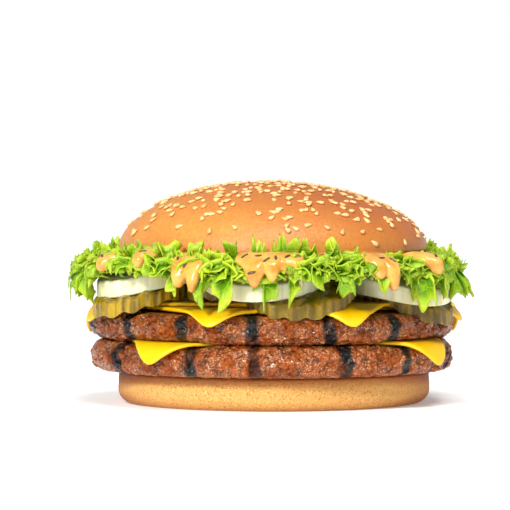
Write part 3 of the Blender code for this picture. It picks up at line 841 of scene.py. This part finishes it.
def slice_rings(disc, thickness, edge, wave, flute, around):
    """A round slice with rounded edges that sags with the layers below it.

    wave(x, y) raises both faces alike, and flute(turn) moves the rim in and out.
    """
    x, y, radius, level, tilt_x, tilt_y, hang = disc
    turn = full_turn(around)[None, :]
    inner = np.linspace(0.05, 1, 26)[:-1] * (1 - edge / radius)
    arc = np.linspace(0, math.pi / 2, 8)
    lower, upper = 1 - edge / radius * (1 - np.sin(arc)), 1 - edge / radius * (1 - np.cos(arc))
    reach = np.concatenate([inner, lower, upper, inner[::-1]])[:, None]
    height = np.concatenate([0 * inner, edge * (1 - np.cos(arc)), thickness - edge * (1 - np.sin(arc))])
    height = np.concatenate([height, 0 * inner + thickness])[:, None]
    uneven = 1 + 0.03 * noise(polar(radius, turn, 0.0), 12 * MM, int(radius / MM))
    grown = reach * (uneven + flute(turn) * reach**8)
    px = x + radius * grown * np.sin(turn)
    py = y - radius * grown * np.cos(turn)
    base = level + tilt_x * (px - x) + tilt_y * (py - y) - hang * sag(np.hypot(px, py))
    return np.stack([px, py, base + wave(px - x, py - y) + height], axis=-1)


def pickle_rings(settings, disc, around):
    """A crinkle-cut slice: waves run across both faces, and low ribs run down its rim."""
    radius = disc[2]
    ribs = round(2 * math.pi * radius / (3.7 * MM))

    def wave(x, y):
        bent = x + 0.6 * MM * np.sin(y / (5 * MM))
        return settings.crinkle_height * np.sin(2 * math.pi * bent / settings.crinkle_length)

    def flute(turn):
        uneven = 1 + 0.5 * noise(polar(radius, turn, 0.0), 5 * MM, 41)
        return 0.014 * np.cos(ribs * turn) * uneven + 0.01 * noise(polar(radius, turn, 0.0), 2 * MM, 43)

    return slice_rings(disc, settings.thickness, 0.7 * MM, wave, flute, around)


def pickle_material(settings):
    """Pickled flesh: olive yellow with streaks down the rim, darker skin, wet and a little translucent."""
    finish = Finish(
        "pickle", roughness=0.22, subsurface_weight=0.3, subsurface_scale=0.002, specular_ior_level=0.45
    )
    streaks = finish.noise(0.0022, 4, 0.6, (1, 1, 0.18)).ramp(0.35, 0.68)
    tone = finish.mix(streaks, settings.skin, settings.olive)
    pale = tuple(min(1, value * factor) for value, factor in zip(settings.olive, (1.4, 1.5, 6)))
    tone = finish.mix(finish.attribute("ridge").ramp(0.4, 1.0) * 0.4, tone, pale)
    # Some slices are darker all over, by the darkening attribute.
    tone = finish.mix(finish.attribute("aged") * 0.75, tone, settings.skin)
    rough = 0.16 + finish.noise(0.0012, 3) * 0.26
    normal = finish.bump(finish.noise(0.0011, 4, 0.7), 0.2 * MM, 0.8)
    return finish.wear(base_color=tone, roughness=rough, normal=normal)


class BURGER_OT_pickles(bpy.types.Operator):
    """Adds the crinkle-cut pickle slices"""

    bl_idname = "burger.pickles"
    bl_label = "Pickles"

    def execute(self, context):
        settings = context.scene.burger_pickle
        finish = pickle_material(settings)
        for number, disc in enumerate(PICKLES, start=1):
            rings = pickle_rings(settings, disc, 240)
            ridge = 0.5 + 0.5 * noise(rings * np.array([1, 1, 0.2]), 2.4 * MM, 47)
            aged = np.full(ridge.shape, AGED[number - 1])
            add_turned(f"pickle_{number}", rings, finish, "pickle", ridge=ridge, aged=aged)
        return {"FINISHED"}


def onion_rings(settings, disc, around):
    """A slice of onion: its faces dip in shallow grooves between the rings that it is made of."""
    radius = disc[2]

    def wave(x, y):
        layer = np.hypot(x, y) / (4.2 * MM)
        return 0.35 * MM * np.abs(np.sin(math.pi * layer)) ** 0.5

    def flute(turn):
        return 0.006 * noise(polar(radius, turn, 0.0), 3 * MM, 53)

    return slice_rings(disc, settings.thickness, 0.8 * MM, wave, flute, around)


def onion_material(settings):
    """Raw onion: white and translucent, with fine upright lines and a wet gloss."""
    finish = Finish(
        "onion", roughness=0.2, subsurface_weight=0.5, subsurface_scale=0.004, specular_ior_level=0.55
    )
    lines = finish.noise(0.0016, 3, 0.6, (1, 1, 0.06)).ramp(0.35, 0.75)
    tone = finish.mix(lines * 0.75, settings.flesh, settings.line)
    tint = tuple(value * factor for value, factor in zip(settings.line, (0.86, 0.95, 0.75)))
    tone = finish.mix(finish.noise(0.014, 2).ramp(0.4, 0.75) * 0.6, tone, tint)
    rough = 0.14 + finish.noise(0.003, 3) * 0.2
    normal = finish.bump(finish.noise(0.0013, 3, 0.6, (1, 1, 0.3)), 0.12 * MM, 0.7)
    return finish.wear(base_color=tone, roughness=rough, normal=normal)


class BURGER_OT_onions(bpy.types.Operator):
    """Adds the slices of raw onion"""

    bl_idname = "burger.onions"
    bl_label = "Onions"

    def execute(self, context):
        settings = context.scene.burger_onion
        finish = onion_material(settings)
        for number, disc in enumerate(ONIONS, start=1):
            add_turned(f"onion_{number}", onion_rings(settings, disc, 200), finish, "onion")
        return {"FINISHED"}


# Lettuce

BED_RADIUS = 52 * MM
BED_THICKNESS = 0.9 * MM
# The radius and height where every leaf starts, out of sight under the crown, and how far out a leaf goes.
LEAF_ROOT = (53 * MM, 49.8 * MM)
LEAF_REACH = 71.5 * MM

# The leaves that the photograph shows one by one: bearing and half the width in degrees, then in millimetres
# the (radius, height) of the knee and of the hem, folds across the leaf, their height, and how deep the hem
# is cut into lobes. The first group stands up in front of the crown, and the second hangs over the filling.
STANDING = [
    (-66, 6, (62, 47), (63, 53.5), 2.5, 2.6, 0.3),
    (-55, 6, (62, 47), (63, 54.5), 2.5, 2.6, 0.3),
    (-45, 6, (61, 47), (62, 56.5), 3.0, 2.4, 0.3),
    (-36, 5, (61, 47), (62, 57.0), 2.5, 2.4, 0.3),
    (-25, 5.5, (60, 47), (61, 58.2), 2.5, 2.4, 0.3),
    (-13, 5, (59, 47.5), (60, 57.8), 2.0, 2.2, 0.3),
    (-6, 4, (59, 47.5), (60, 58.4), 1.5, 1.6, 0.3),
    (6, 7.5, (58.5, 47.5), (60, 59.2), 1.2, 1.0, 0.15),
    (19, 5, (59, 47.5), (60, 57.4), 2.5, 2.2, 0.3),
    (27, 5, (60, 47), (61, 55.8), 2.0, 2.2, 0.3),
    (38, 5, (62, 47), (64, 53.0), 2.0, 2.2, 0.3),
    (53, 5, (61, 47), (63, 51.5), 2.5, 2.4, 0.3),
    (66, 7, (62, 46), (65, 50.5), 3.0, 2.8, 0.35),
    (80, 6, (62, 47), (65, 50.5), 2.5, 2.6, 0.35),
    (-77, 7, (62, 47), (63, 53.0), 2.5, 2.6, 0.3),
]
HANGING = [
    (-80, 7, (69, 50.5), (69.5, 38.0), 2.5, 2.2, 0.35),
    (-71, 6, (69, 50.5), (69, 37.0), 2.5, 2.2, 0.35),
    (-62, 5, (70, 50.5), (69, 44.0), 2.5, 2.4, 0.3),
    (-52, 6, (69, 51.5), (68, 48.0), 2.5, 2.2, 0.3),
    (-42, 6, (69, 51.5), (68, 48.5), 2.5, 2.2, 0.3),
    (-33, 5, (70, 51.0), (69, 44.5), 2.0, 1.8, 0.25),
    (-29, 2.6, (69, 50.5), (68, 38.5), 1.0, 1.2, 0.15),
    (-21, 4, (70, 51.0), (69, 37.0), 1.5, 1.6, 0.25),
    (-14, 5, (71, 51.0), (70, 36.0), 2.5, 2.2, 0.4),
    (-7, 3.4, (70, 51.0), (69, 45.0), 1.5, 1.6, 0.2),
    (-2, 3.6, (71, 51.0), (70.5, 33.5), 1.5, 1.8, 0.35),
    (5, 3, (70, 51.0), (69, 38.0), 1.5, 1.8, 0.3),
    (13, 4, (71, 51.0), (70, 41.0), 2.0, 2.0, 0.35),
    (21, 5, (70, 51.0), (69, 39.5), 2.5, 2.2, 0.3),
    (31, 5.5, (70, 51.0), (69, 41.0), 1.2, 1.2, 0.15),
    (41, 4.5, (70, 52.0), (70, 42.5), 0.8, 1.4, 0.1),
    (48, 4.5, (70, 51.0), (70, 33.5), 1.5, 1.8, 0.35),
    (56, 4, (70, 51.0), (70, 37.5), 2.0, 2.2, 0.35),
    (66, 6, (68, 50.5), (67.5, 38.0), 2.5, 2.4, 0.4),
    (78, 6, (66, 50.5), (66.5, 38.5), 2.5, 2.2, 0.4),
]


def filler_leaves(first, last, step, knee, hem, spread, seed):
    """Small leaves every few degrees, all alike but for seeded jitter in their hem, width and folds.

    They rise a little at the front left, and lie lower and further in at the right.
    """
    draw = np.random.default_rng(seed)
    leaves = []
    for bearing in np.arange(first, last, step):
        high = hem[1] + draw.uniform(-spread, spread) + 2.5 * hump(bearing, -45, 14)
        high -= 2.2 * hump(bearing, 68, 22)
        out = hem[0] + draw.uniform(-1.6, 0) - 1.2 * abs(math.sin(math.radians(bearing)))
        out -= 5 * hump(bearing, 88, 24)
        folds, half = draw.uniform(1.7, 2.7), draw.uniform(8, 12)
        bend = (min(knee[0], out), knee[1])
        leaves.append((bearing + draw.uniform(-2, 2), half, bend, (out, high), folds, 2.6, 0.35))
    return leaves


def leaf_points(leaf, thickness, columns, rows, seed):
    """A ruffled leaf and how far each point lies from its root to its hem.

    The leaf follows a curve outwards over the burger's edge. Waves across the curve grow towards the hem, and
    so do waves sideways at twice their rate, so that the folds lean over. A second, finer frill grows faster.
    The hem is cut into rounded lobes, one to a fold, and into pointed teeth.
    """
    bearing, half_span, knee, hem, folds, height, cut = leaf
    corners = (LEAF_ROOT, (knee[0] * MM, knee[1] * MM), (hem[0] * MM, hem[1] * MM))
    s, t = np.meshgrid(np.linspace(-1, 1, columns), np.linspace(0, 1, rows), indexing="ij")
    line = np.stack([s * half_span * 1.2, 0 * s + seed * 7.3, 0 * s], axis=-1)
    phase = math.pi * folds * s + seed * 1.9 + 1.1 * noise(line, 6.0, seed)
    lobes = np.abs(np.cos(phase * 0.5 + 0.8 * noise(line, 3.0, seed + 1) + seed)) ** 0.6
    teeth = np.abs(((line[..., 0] * 0.45 + 1.5 * noise(line, 2.0, seed + 2)) % 1) * 2 - 1)
    taper, power = (0.7, 1.5) if half_span < 6 else (0.3, 2.5)
    reach = (1 - 0.6 * cut * (1 - lobes)) * (1 - taper * np.abs(s) ** power)
    along = t * reach + 0.2 * (teeth - 0.5) * t**5
    middle = bezier(corners, along)
    ahead = unit(bezier(corners, along + 0.01) - middle)
    across = np.stack([-ahead[..., 1], ahead[..., 0]], axis=-1)
    grown = height * MM * t**1.4
    frill = 0.7 * MM * t**3 * np.sin(phase * 2.7 + 2 * noise(line, 2.0, seed + 3))
    curl = 2.4 * MM * t**6 * np.sin(phase * 0.7 + seed)
    moved = middle + across * (grown * np.sin(phase) + frill + curl)[..., None]
    moved[..., 0] = np.minimum(moved[..., 0], LEAF_REACH)
    lean = (0.8 * grown * np.sin(2 * phase) + 0.5 * MM * t**4 * np.cos(phase * 3.3)) / moved[..., 0]
    turn = math.radians(bearing) + math.radians(half_span) * s * (0.6 + 0.5 * t) + lean
    centre = polar(moved[..., 0], turn, moved[..., 1])
    return thickened(centre, thickness, t), t


def thickened(centre, thickness, t):
    """A sheet's two faces, half its thickness to either side along its normals, and thin at its hem."""
    normal = unit(np.cross(np.gradient(centre, axis=0), np.gradient(centre, axis=1)))
    half = (thickness * (0.62 - 0.35 * t**3))[..., None] * normal
    return np.stack([centre - half, centre + half])


def add_leaves(name, leaves, columns, rows, settings, finish, first_seed):
    """Joins leaves into one piece in place of the lettuce's solid."""
    points, depth, tint, faces = [], [], [], []
    quads = sheet_faces(columns, rows)
    for number, leaf in enumerate(leaves):
        sheets, t = leaf_points(leaf, settings.thickness, columns, rows, first_seed + number)
        faces.append(quads + number * 2 * columns * rows)
        points.append(sheets.reshape(-1, 3))
        depth.append(np.concatenate([t.ravel(), t.ravel()]))
        tint.append(np.full(2 * t.size, (number * 0.618) % 1))
    points, faces = np.concatenate(points), np.concatenate(faces)
    none = np.empty((0, 3), dtype=np.int64)
    depth, tint = np.concatenate(depth), np.concatenate(tint)
    return add_piece(name, points, faces, none, finish, "lettuce", ["lettuce"], depth=depth, tint=tint)


def lettuce_material(settings):
    """Curly lettuce: green with paler veins and a yellow-green hem, thin enough for light to come through."""
    finish = Finish(
        "lettuce", roughness=0.34, subsurface_weight=0.35, subsurface_scale=0.0015, specular_ior_level=0.36
    )
    finish.shader.inputs["Subsurface Radius"].default_value = (0.7, 1.0, 0.2)
    depth = finish.attribute("depth")
    tint = finish.attribute("tint")
    body = finish.mix(depth.ramp(0.25, 0.9), settings.deep, settings.green)
    body = finish.mix(finish.noise(0.006, 3).ramp(0.35, 0.75) * 0.5, body, settings.deep)
    hem = depth.ramp(0.78, 1.0) * (0.3 + tint * 0.6)
    veins = finish.cells(0.0042, "DISTANCE_TO_EDGE").ramp(0.0, 0.09)
    tone = finish.mix(hem, body, settings.edge)
    tone = finish.mix((1 - veins) * 0.28, tone, settings.edge)
    relief = finish.bump(veins, 0.18 * MM, 0.7)
    normal = finish.bump(finish.noise(0.002, 3, 0.6), 0.22 * MM, 0.8, relief)
    rough = 0.28 + finish.noise(0.003, 3) * 0.2
    return finish.wear(base_color=tone, roughness=rough, normal=normal)


def bed_rings(around):
    """The core of the heap: a short column down to the cheese, and a thin bed over the onions."""
    column, floor = 11 * MM, PICKLE_LEVEL + 0.5 * MM
    out = np.linspace(column + MM, BED_RADIUS - MM, 12)
    under_r = np.concatenate([[0.3 * column, 0.7 * column, column], out])
    under_z = np.concatenate([[floor, floor, floor + 2 * MM], LETTUCE_LEVEL - 0.8 * sag(out)])
    over_r = np.concatenate([[BED_RADIUS], out[::-1], [0.5 * column]])
    over_z = LETTUCE_LEVEL + BED_THICKNESS - 0.8 * sag(over_r)
    radii, heights = np.concatenate([under_r, over_r]), np.concatenate([under_z, over_z])
    rings = polar(radii[:, None], full_turn(around)[None, :], heights[:, None])
    rings[..., 2] += 0.3 * MM * noise(rings, 5 * MM, 61)
    return rings


class BURGER_OT_lettuce(bpy.types.Operator):
    """Adds the bed of lettuce and its ruffled leaves"""

    bl_idname = "burger.lettuce"
    bl_label = "Lettuce"

    def execute(self, context):
        settings = context.scene.burger_lettuce
        finish = lettuce_material(settings)
        rings = bed_rings(96)
        points = np.concatenate([rings.reshape(-1, 3), [rings[0].mean(axis=0), rings[-1].mean(axis=0)]])
        quads, triangles = ring_faces(len(rings), 96)
        depth, tint = np.full(len(points), 0.3), np.zeros(len(points))
        bed = (points, quads, triangles)
        add_piece("lettuce_bed", *bed, finish, "lettuce", ["lettuce"], depth=depth, tint=tint)
        rows = {
            "standing_leaves": STANDING + filler_leaves(90, 272, 9, (61, 47), (62, 55.5), 1.5, 71),
            "hanging_leaves": HANGING + filler_leaves(88, 272, 9, (70, 50.5), (70, 39.5), 2.5, 72),
            "inner_frills": filler_leaves(-90, 270, 9, (63, 46), (65, 53), 1.5, 73),
            "outer_frills": filler_leaves(-90, 270, 9, (67, 47.5), (70.5, 49.5), 2, 74),
            "drooping_frills": filler_leaves(-90, 270, 9, (69, 50.5), (69, 45), 2, 75),
            "collar": filler_leaves(-90, 270, 9, (57, 48.5), (59.5, 52), 0.8, 76),
        }
        for number, (name, leaves) in enumerate(rows.items()):
            columns, rows_down = (54, 21) if number < 2 else (48, 15)
            add_leaves(name, leaves, columns, rows_down, settings, finish, 100 * number)
        return {"FINISHED"}


# Sauce

# The radius and height where every tongue of sauce starts, under the crown.
TONGUE_ROOT = (51.5 * MM, 50.8 * MM)
# Each tongue: bearing, half the width in degrees, the heights of its top and of its lowest drip, and its
# drips as (place across, width, how far down).
TONGUES = [
    (-25.5, 6.2, 55.5, 40.5, ((-0.3, 0.5, 0.8), (0.55, 0.42, 1.0))),
    (-1.3, 11.5, 55.5, 42.5, ((-0.42, 0.28, 1.0), (0.08, 0.22, 0.75), (0.62, 0.35, 0.4))),
    (32.5, 6.5, 54.5, 41.0, ((-0.35, 0.5, 0.5), (0.42, 0.42, 1.0))),
    (-40.5, 4.0, 55.0, 48.0, ((0.0, 0.6, 0.8),)),
    (-56, 4.0, 53.0, 47.0, ((0.0, 0.6, 1.0),)),
    (52, 4.0, 53.0, 46.0, ((0.0, 0.6, 1.0),)),
    (215, 9.0, 54.0, 42.5, ((-0.4, 0.35, 1.0), (0.4, 0.35, 0.7))),
    (150, 7.0, 54.0, 44.5, ((0.1, 0.5, 1.0),)),
]
# Each fleck: its tongue, its place across from -1 to 1 and down from 0 to 1, and its turn in degrees.
FLECKS = [
    (0, -0.5, 0.61, 120), (0, 0.05, 0.78, 70), (0, 0.6, 0.58, 20),
    (1, -0.68, 0.66, 80), (1, -0.3, 0.54, 10), (1, -0.05, 0.76, 60), (1, 0.2, 0.66, 100),
    (1, 0.5, 0.71, 40), (1, 0.78, 0.61, 130), (1, -0.45, 0.84, 15),
    (2, 0.0, 0.68, 5), (2, 0.55, 0.61, 110), (3, 0.1, 0.66, 30), (4, -0.2, 0.71, 140), (5, 0.2, 0.66, 60),
    (6, -0.5, 0.66, 20), (6, -0.1, 0.58, 90), (6, 0.4, 0.71, 150), (7, 0.1, 0.66, 45), (7, -0.4, 0.58, 100),
]


def tongue_points(tongue, settings, columns, rows):
    """A tongue of sauce: it runs along a curve out over the leaves and down, and ends in rounded drips.

    It swells where it hangs, and its depth falls to nothing round its outline.
    """
    bearing, half_width, high, low, drips = tongue
    corners = (TONGUE_ROOT, (70 * MM, (high + 1.5) * MM), (71.3 * MM, low * MM))
    s, t = np.meshgrid(np.linspace(-1, 1, columns), np.linspace(0, 1, rows), indexing="ij")
    drip = np.zeros_like(s)
    for place, width, depth in drips:
        drip = np.maximum(drip, depth * np.exp(-np.abs((s - place) / width) ** 2.6))
    reach = 0.7 + 0.3 * drip - 0.13 * s**4
    along = t * reach
    middle = bezier(corners, along)
    ahead = unit(bezier(corners, along + 0.01) - middle)
    across = np.stack([-ahead[..., 1], ahead[..., 0]], axis=-1)
    edge = np.clip(1 - s**4, 0, 1) ** 0.5 * np.clip(1 - t**6, 0, 1) ** 0.5 * np.clip(t / 0.35, 0, 1)
    pooled = 0.6 + 0.5 * drip * np.exp(-(((t - 0.84) / 0.2) ** 2))
    turn = math.radians(bearing) + math.radians(half_width) * s * (1 - 0.15 * t)
    uneven = 1 + 0.35 * noise(polar(middle[..., 0], turn, middle[..., 1]), 4 * MM, 83)
    swell = settings.thickness * edge * pooled * uneven
    outer = middle + across * (swell + 0.05 * MM)[..., None]
    inner = middle - across * (0.6 * swell + 1.3 * MM * t)[..., None]
    return np.stack([polar(side[..., 0], turn, side[..., 1]) for side in (inner, outer)])


def sauce_material(settings):
    """Creamy sauce: glossy and slightly translucent, deeper in colour in soft patches."""
    finish = Finish(
        "sauce", roughness=0.15, subsurface_weight=0.35, subsurface_scale=0.003, specular_ior_level=0.6
    )
    finish.shader.inputs["Subsurface Radius"].default_value = (1.0, 0.75, 0.4)
    tone = finish.mix(finish.noise(0.005, 3).ramp(0.35, 0.75), settings.cream, settings.amber)
    normal = finish.bump(finish.noise(0.003, 3), 0.7 * MM, 0.7)
    return finish.wear(base_color=tone, normal=normal)


def fleck_points(anchors, normals, headings, around, steps):
    """Flat slivers: ellipsoids three times as long as wide, laid on the sauce's outer face."""
    arc = np.linspace(-math.pi / 2, math.pi / 2, steps + 2)[1:-1][:, None]
    turn = full_turn(around)[None, :]
    tangent = unit(np.cross(normals, [0, 0, 1.0]))
    upright = np.cross(tangent, normals)
    forward = tangent * np.cos(headings)[:, None] + upright * np.sin(headings)[:, None]
    side = upright * np.cos(headings)[:, None] - tangent * np.sin(headings)[:, None]
    half_length, half_width, half_depth = 1.5 * MM, 0.5 * MM, 0.4 * MM
    lengthwise = (np.sin(arc) + 0 * turn) * half_length
    made = anchors[:, None, None] + forward[:, None, None] * lengthwise[..., None]
    made = made + side[:, None, None] * (np.cos(arc) * np.cos(turn) * half_width)[..., None]
    return made + normals[:, None, None] * (np.cos(arc) * np.sin(turn) * half_depth)[..., None]


class BURGER_OT_sauce(bpy.types.Operator):
    """Adds the sauce that runs out over the lettuce, with its flecks"""

    bl_idname = "burger.sauce"
    bl_label = "Sauce"

    def execute(self, context):
        settings = context.scene.burger_sauce
        columns, rows = 64, 44
        quads = sheet_faces(columns, rows)
        sheets = [tongue_points(tongue, settings, columns, rows) for tongue in TONGUES]
        faces = np.concatenate([quads + number * 2 * columns * rows for number in range(len(sheets))])
        points = np.concatenate([sheet.reshape(-1, 3) for sheet in sheets])
        none = np.empty((0, 3), dtype=np.int64)
        add_piece("sauce_tongues", points, faces, none, sauce_material(settings), "sauce", ["lettuce"])

        outer = np.stack([sheet[1] for sheet in sheets])
        facing = unit(np.cross(np.gradient(outer, axis=1), np.gradient(outer, axis=2)))
        tongue, across, down, heading = np.array(FLECKS).T
        place = (tongue, (across + 1) / 2 * (columns - 1), down * (rows - 1))
        spot = tuple(part.astype(int) for part in place)
        rings = fleck_points(outer[spot], facing[spot], np.radians(heading), 10, 7)
        points, quads, triangles = joined(rings, 1)
        finish = Finish("fleck", roughness=0.35)
        dark = tuple(value * 0.2 for value in settings.fleck)
        tone = finish.mix(finish.noise(0.0012, 2), settings.fleck, dark)
        finish = finish.wear(base_color=tone)
        add_piece("sauce_flecks", points, quads, triangles, finish, "sauce", ["lettuce"])
        return {"FINISHED"}


# Stage


class BURGER_OT_stage(bpy.types.Operator):
    """Adds the pale floor, the soft studio light and the camera"""

    bl_idname = "burger.stage"
    bl_label = "Stage"

    def execute(self, context):
        settings = context.scene.burger_stage
        self.add_floor(settings)
        self.add_lights(context, settings)
        self.add_camera(context, settings)
        context.scene.view_settings.view_transform = "Standard"
        return {"FINISHED"}

    def add_floor(self, settings):
        """A flat round floor."""
        bpy.ops.mesh.primitive_circle_add(vertices=96, radius=6, fill_type="NGON")
        floor = bpy.context.object
        floor.name = "floor"
        finish = Finish("floor", roughness=0.9, specular_ior_level=0.1, emission_strength=settings.glow)
        finish.shader.inputs["Emission Color"].default_value = (1, 1, 1, 1)
        tone = (settings.white,) * 3
        mottle = finish.mix(finish.noise(0.2, 2) * 0.02, tone, (0.9, 0.9, 0.9))
        floor.data.materials.append(finish.wear(base_color=mottle))

    def add_lights(self, context, settings):
        """White surroundings that dim above and in front, a soft key light and a small front light."""
        world = bpy.data.worlds.new("studio")
        world.use_nodes = True
        tree = world.node_tree
        background = tree.nodes["Background"]
        background.inputs["Color"].default_value = (1, 1, 1, 1)
        place = tree.nodes.new("ShaderNodeTexCoord")
        split = tree.nodes.new("ShaderNodeSeparateXYZ")
        fade = tree.nodes.new("ShaderNodeMapRange")
        fade.interpolation_type = "SMOOTHSTEP"
        for key, value in (("From Min", 0.08), ("From Max", 0.4), ("To Min", 1.0), ("To Max", settings.sky)):
            fade.inputs[key].default_value = value
        tree.links.new(place.outputs["Generated"], split.inputs[0])
        tree.links.new(split.outputs["Z"], fade.inputs["Value"])
        front = tree.nodes.new("ShaderNodeMapRange")
        for key, value in (("From Min", -0.5), ("From Max", 0.3), ("To Min", settings.room), ("To Max", 1.0)):
            front.inputs[key].default_value = value
        tree.links.new(split.outputs["Y"], front.inputs["Value"])
        both = tree.nodes.new("ShaderNodeMath")
        both.operation = "MULTIPLY"
        tree.links.new(fade.outputs[0], both.inputs[0])
        tree.links.new(front.outputs[0], both.inputs[1])
        tree.links.new(both.outputs[0], background.inputs["Strength"])
        context.scene.world = world
        for name, kind, where, size, power in (
            ("key_light", "SUN", (0.15, -0.5, 1.2), settings.key_softness, settings.key_power),
            ("front_light", "AREA", (-0.6, -1.1, 0.7), 0.25, settings.front_power),
        ):
            lamp = bpy.data.lights.new(name, kind)
            setattr(lamp, "angle" if kind == "SUN" else "size", size)
            lamp.energy = power
            light = bpy.data.objects.new(name, lamp)
            light.location = where
            light.rotation_euler = direction((-where[0], -where[1], 40 * MM - where[2]))
            context.scene.collection.objects.link(light)

    def add_camera(self, context, settings):
        """A long lens a little over the burger's own height, aimed at the middle of the photograph."""
        camera = bpy.data.cameras.new("camera")
        camera.lens = settings.focal_length
        camera.sensor_width = 36
        camera.clip_end = 20
        made = bpy.data.objects.new("camera", camera)
        side, aim = -6.3 * MM, 51.3 * MM
        made.location = (side, -settings.camera_distance, settings.camera_height)
        made.rotation_euler = direction((0, settings.camera_distance, aim - settings.camera_height))
        context.scene.collection.objects.link(made)
        context.scene.camera = made


def direction(aim):
    """The turn that points an object's -Z along aim, with its own Y as upright as it can be."""
    return Vector(aim).to_track_quat("-Z", "Y").to_euler()


# Add-on

SETTINGS = {
    "burger_bread": BreadSettings,
    "burger_beef": BeefSettings,
    "burger_cheese": CheeseSettings,
    "burger_pickle": PickleSettings,
    "burger_onion": OnionSettings,
    "burger_lettuce": LettuceSettings,
    "burger_sauce": SauceSettings,
    "burger_stage": StageSettings,
}
OPERATORS = (
    BURGER_OT_heel,
    BURGER_OT_crown,
    BURGER_OT_sesame,
    BURGER_OT_patties,
    BURGER_OT_cheese,
    BURGER_OT_pickles,
    BURGER_OT_onions,
    BURGER_OT_lettuce,
    BURGER_OT_sauce,
    BURGER_OT_stage,
)


class BURGER_PT_layers(bpy.types.Panel):
    """Lists the burger's settings and the buttons that build it"""

    bl_label = "Double Cheeseburger"
    bl_space_type = "VIEW_3D"
    bl_region_type = "UI"
    bl_category = "Burger"

    def draw(self, context):
        for key, group in SETTINGS.items():
            box = self.layout.box()
            box.label(text=key.replace("burger_", "").title())
            for name in group.__annotations__:
                box.prop(getattr(context.scene, key), name)
        for operator in OPERATORS:
            self.layout.operator(operator.bl_idname)


def register():
    for group in (*SETTINGS.values(), *OPERATORS, BURGER_PT_layers):
        bpy.utils.register_class(group)
    for key, group in SETTINGS.items():
        setattr(bpy.types.Scene, key, PointerProperty(type=group))


def unregister():
    for key in SETTINGS:
        delattr(bpy.types.Scene, key)
    for group in reversed((*SETTINGS.values(), *OPERATORS, BURGER_PT_layers)):
        bpy.utils.unregister_class(group)


def main():
    register()
    bpy.ops.burger.heel()
    bpy.ops.burger.crown()
    bpy.ops.burger.sesame()
    bpy.ops.burger.patties()
    bpy.ops.burger.cheese()
    bpy.ops.burger.pickles()
    bpy.ops.burger.onions()
    bpy.ops.burger.lettuce()
    bpy.ops.burger.sauce()
    bpy.ops.burger.stage()


if __name__ == "__main__":
    main()
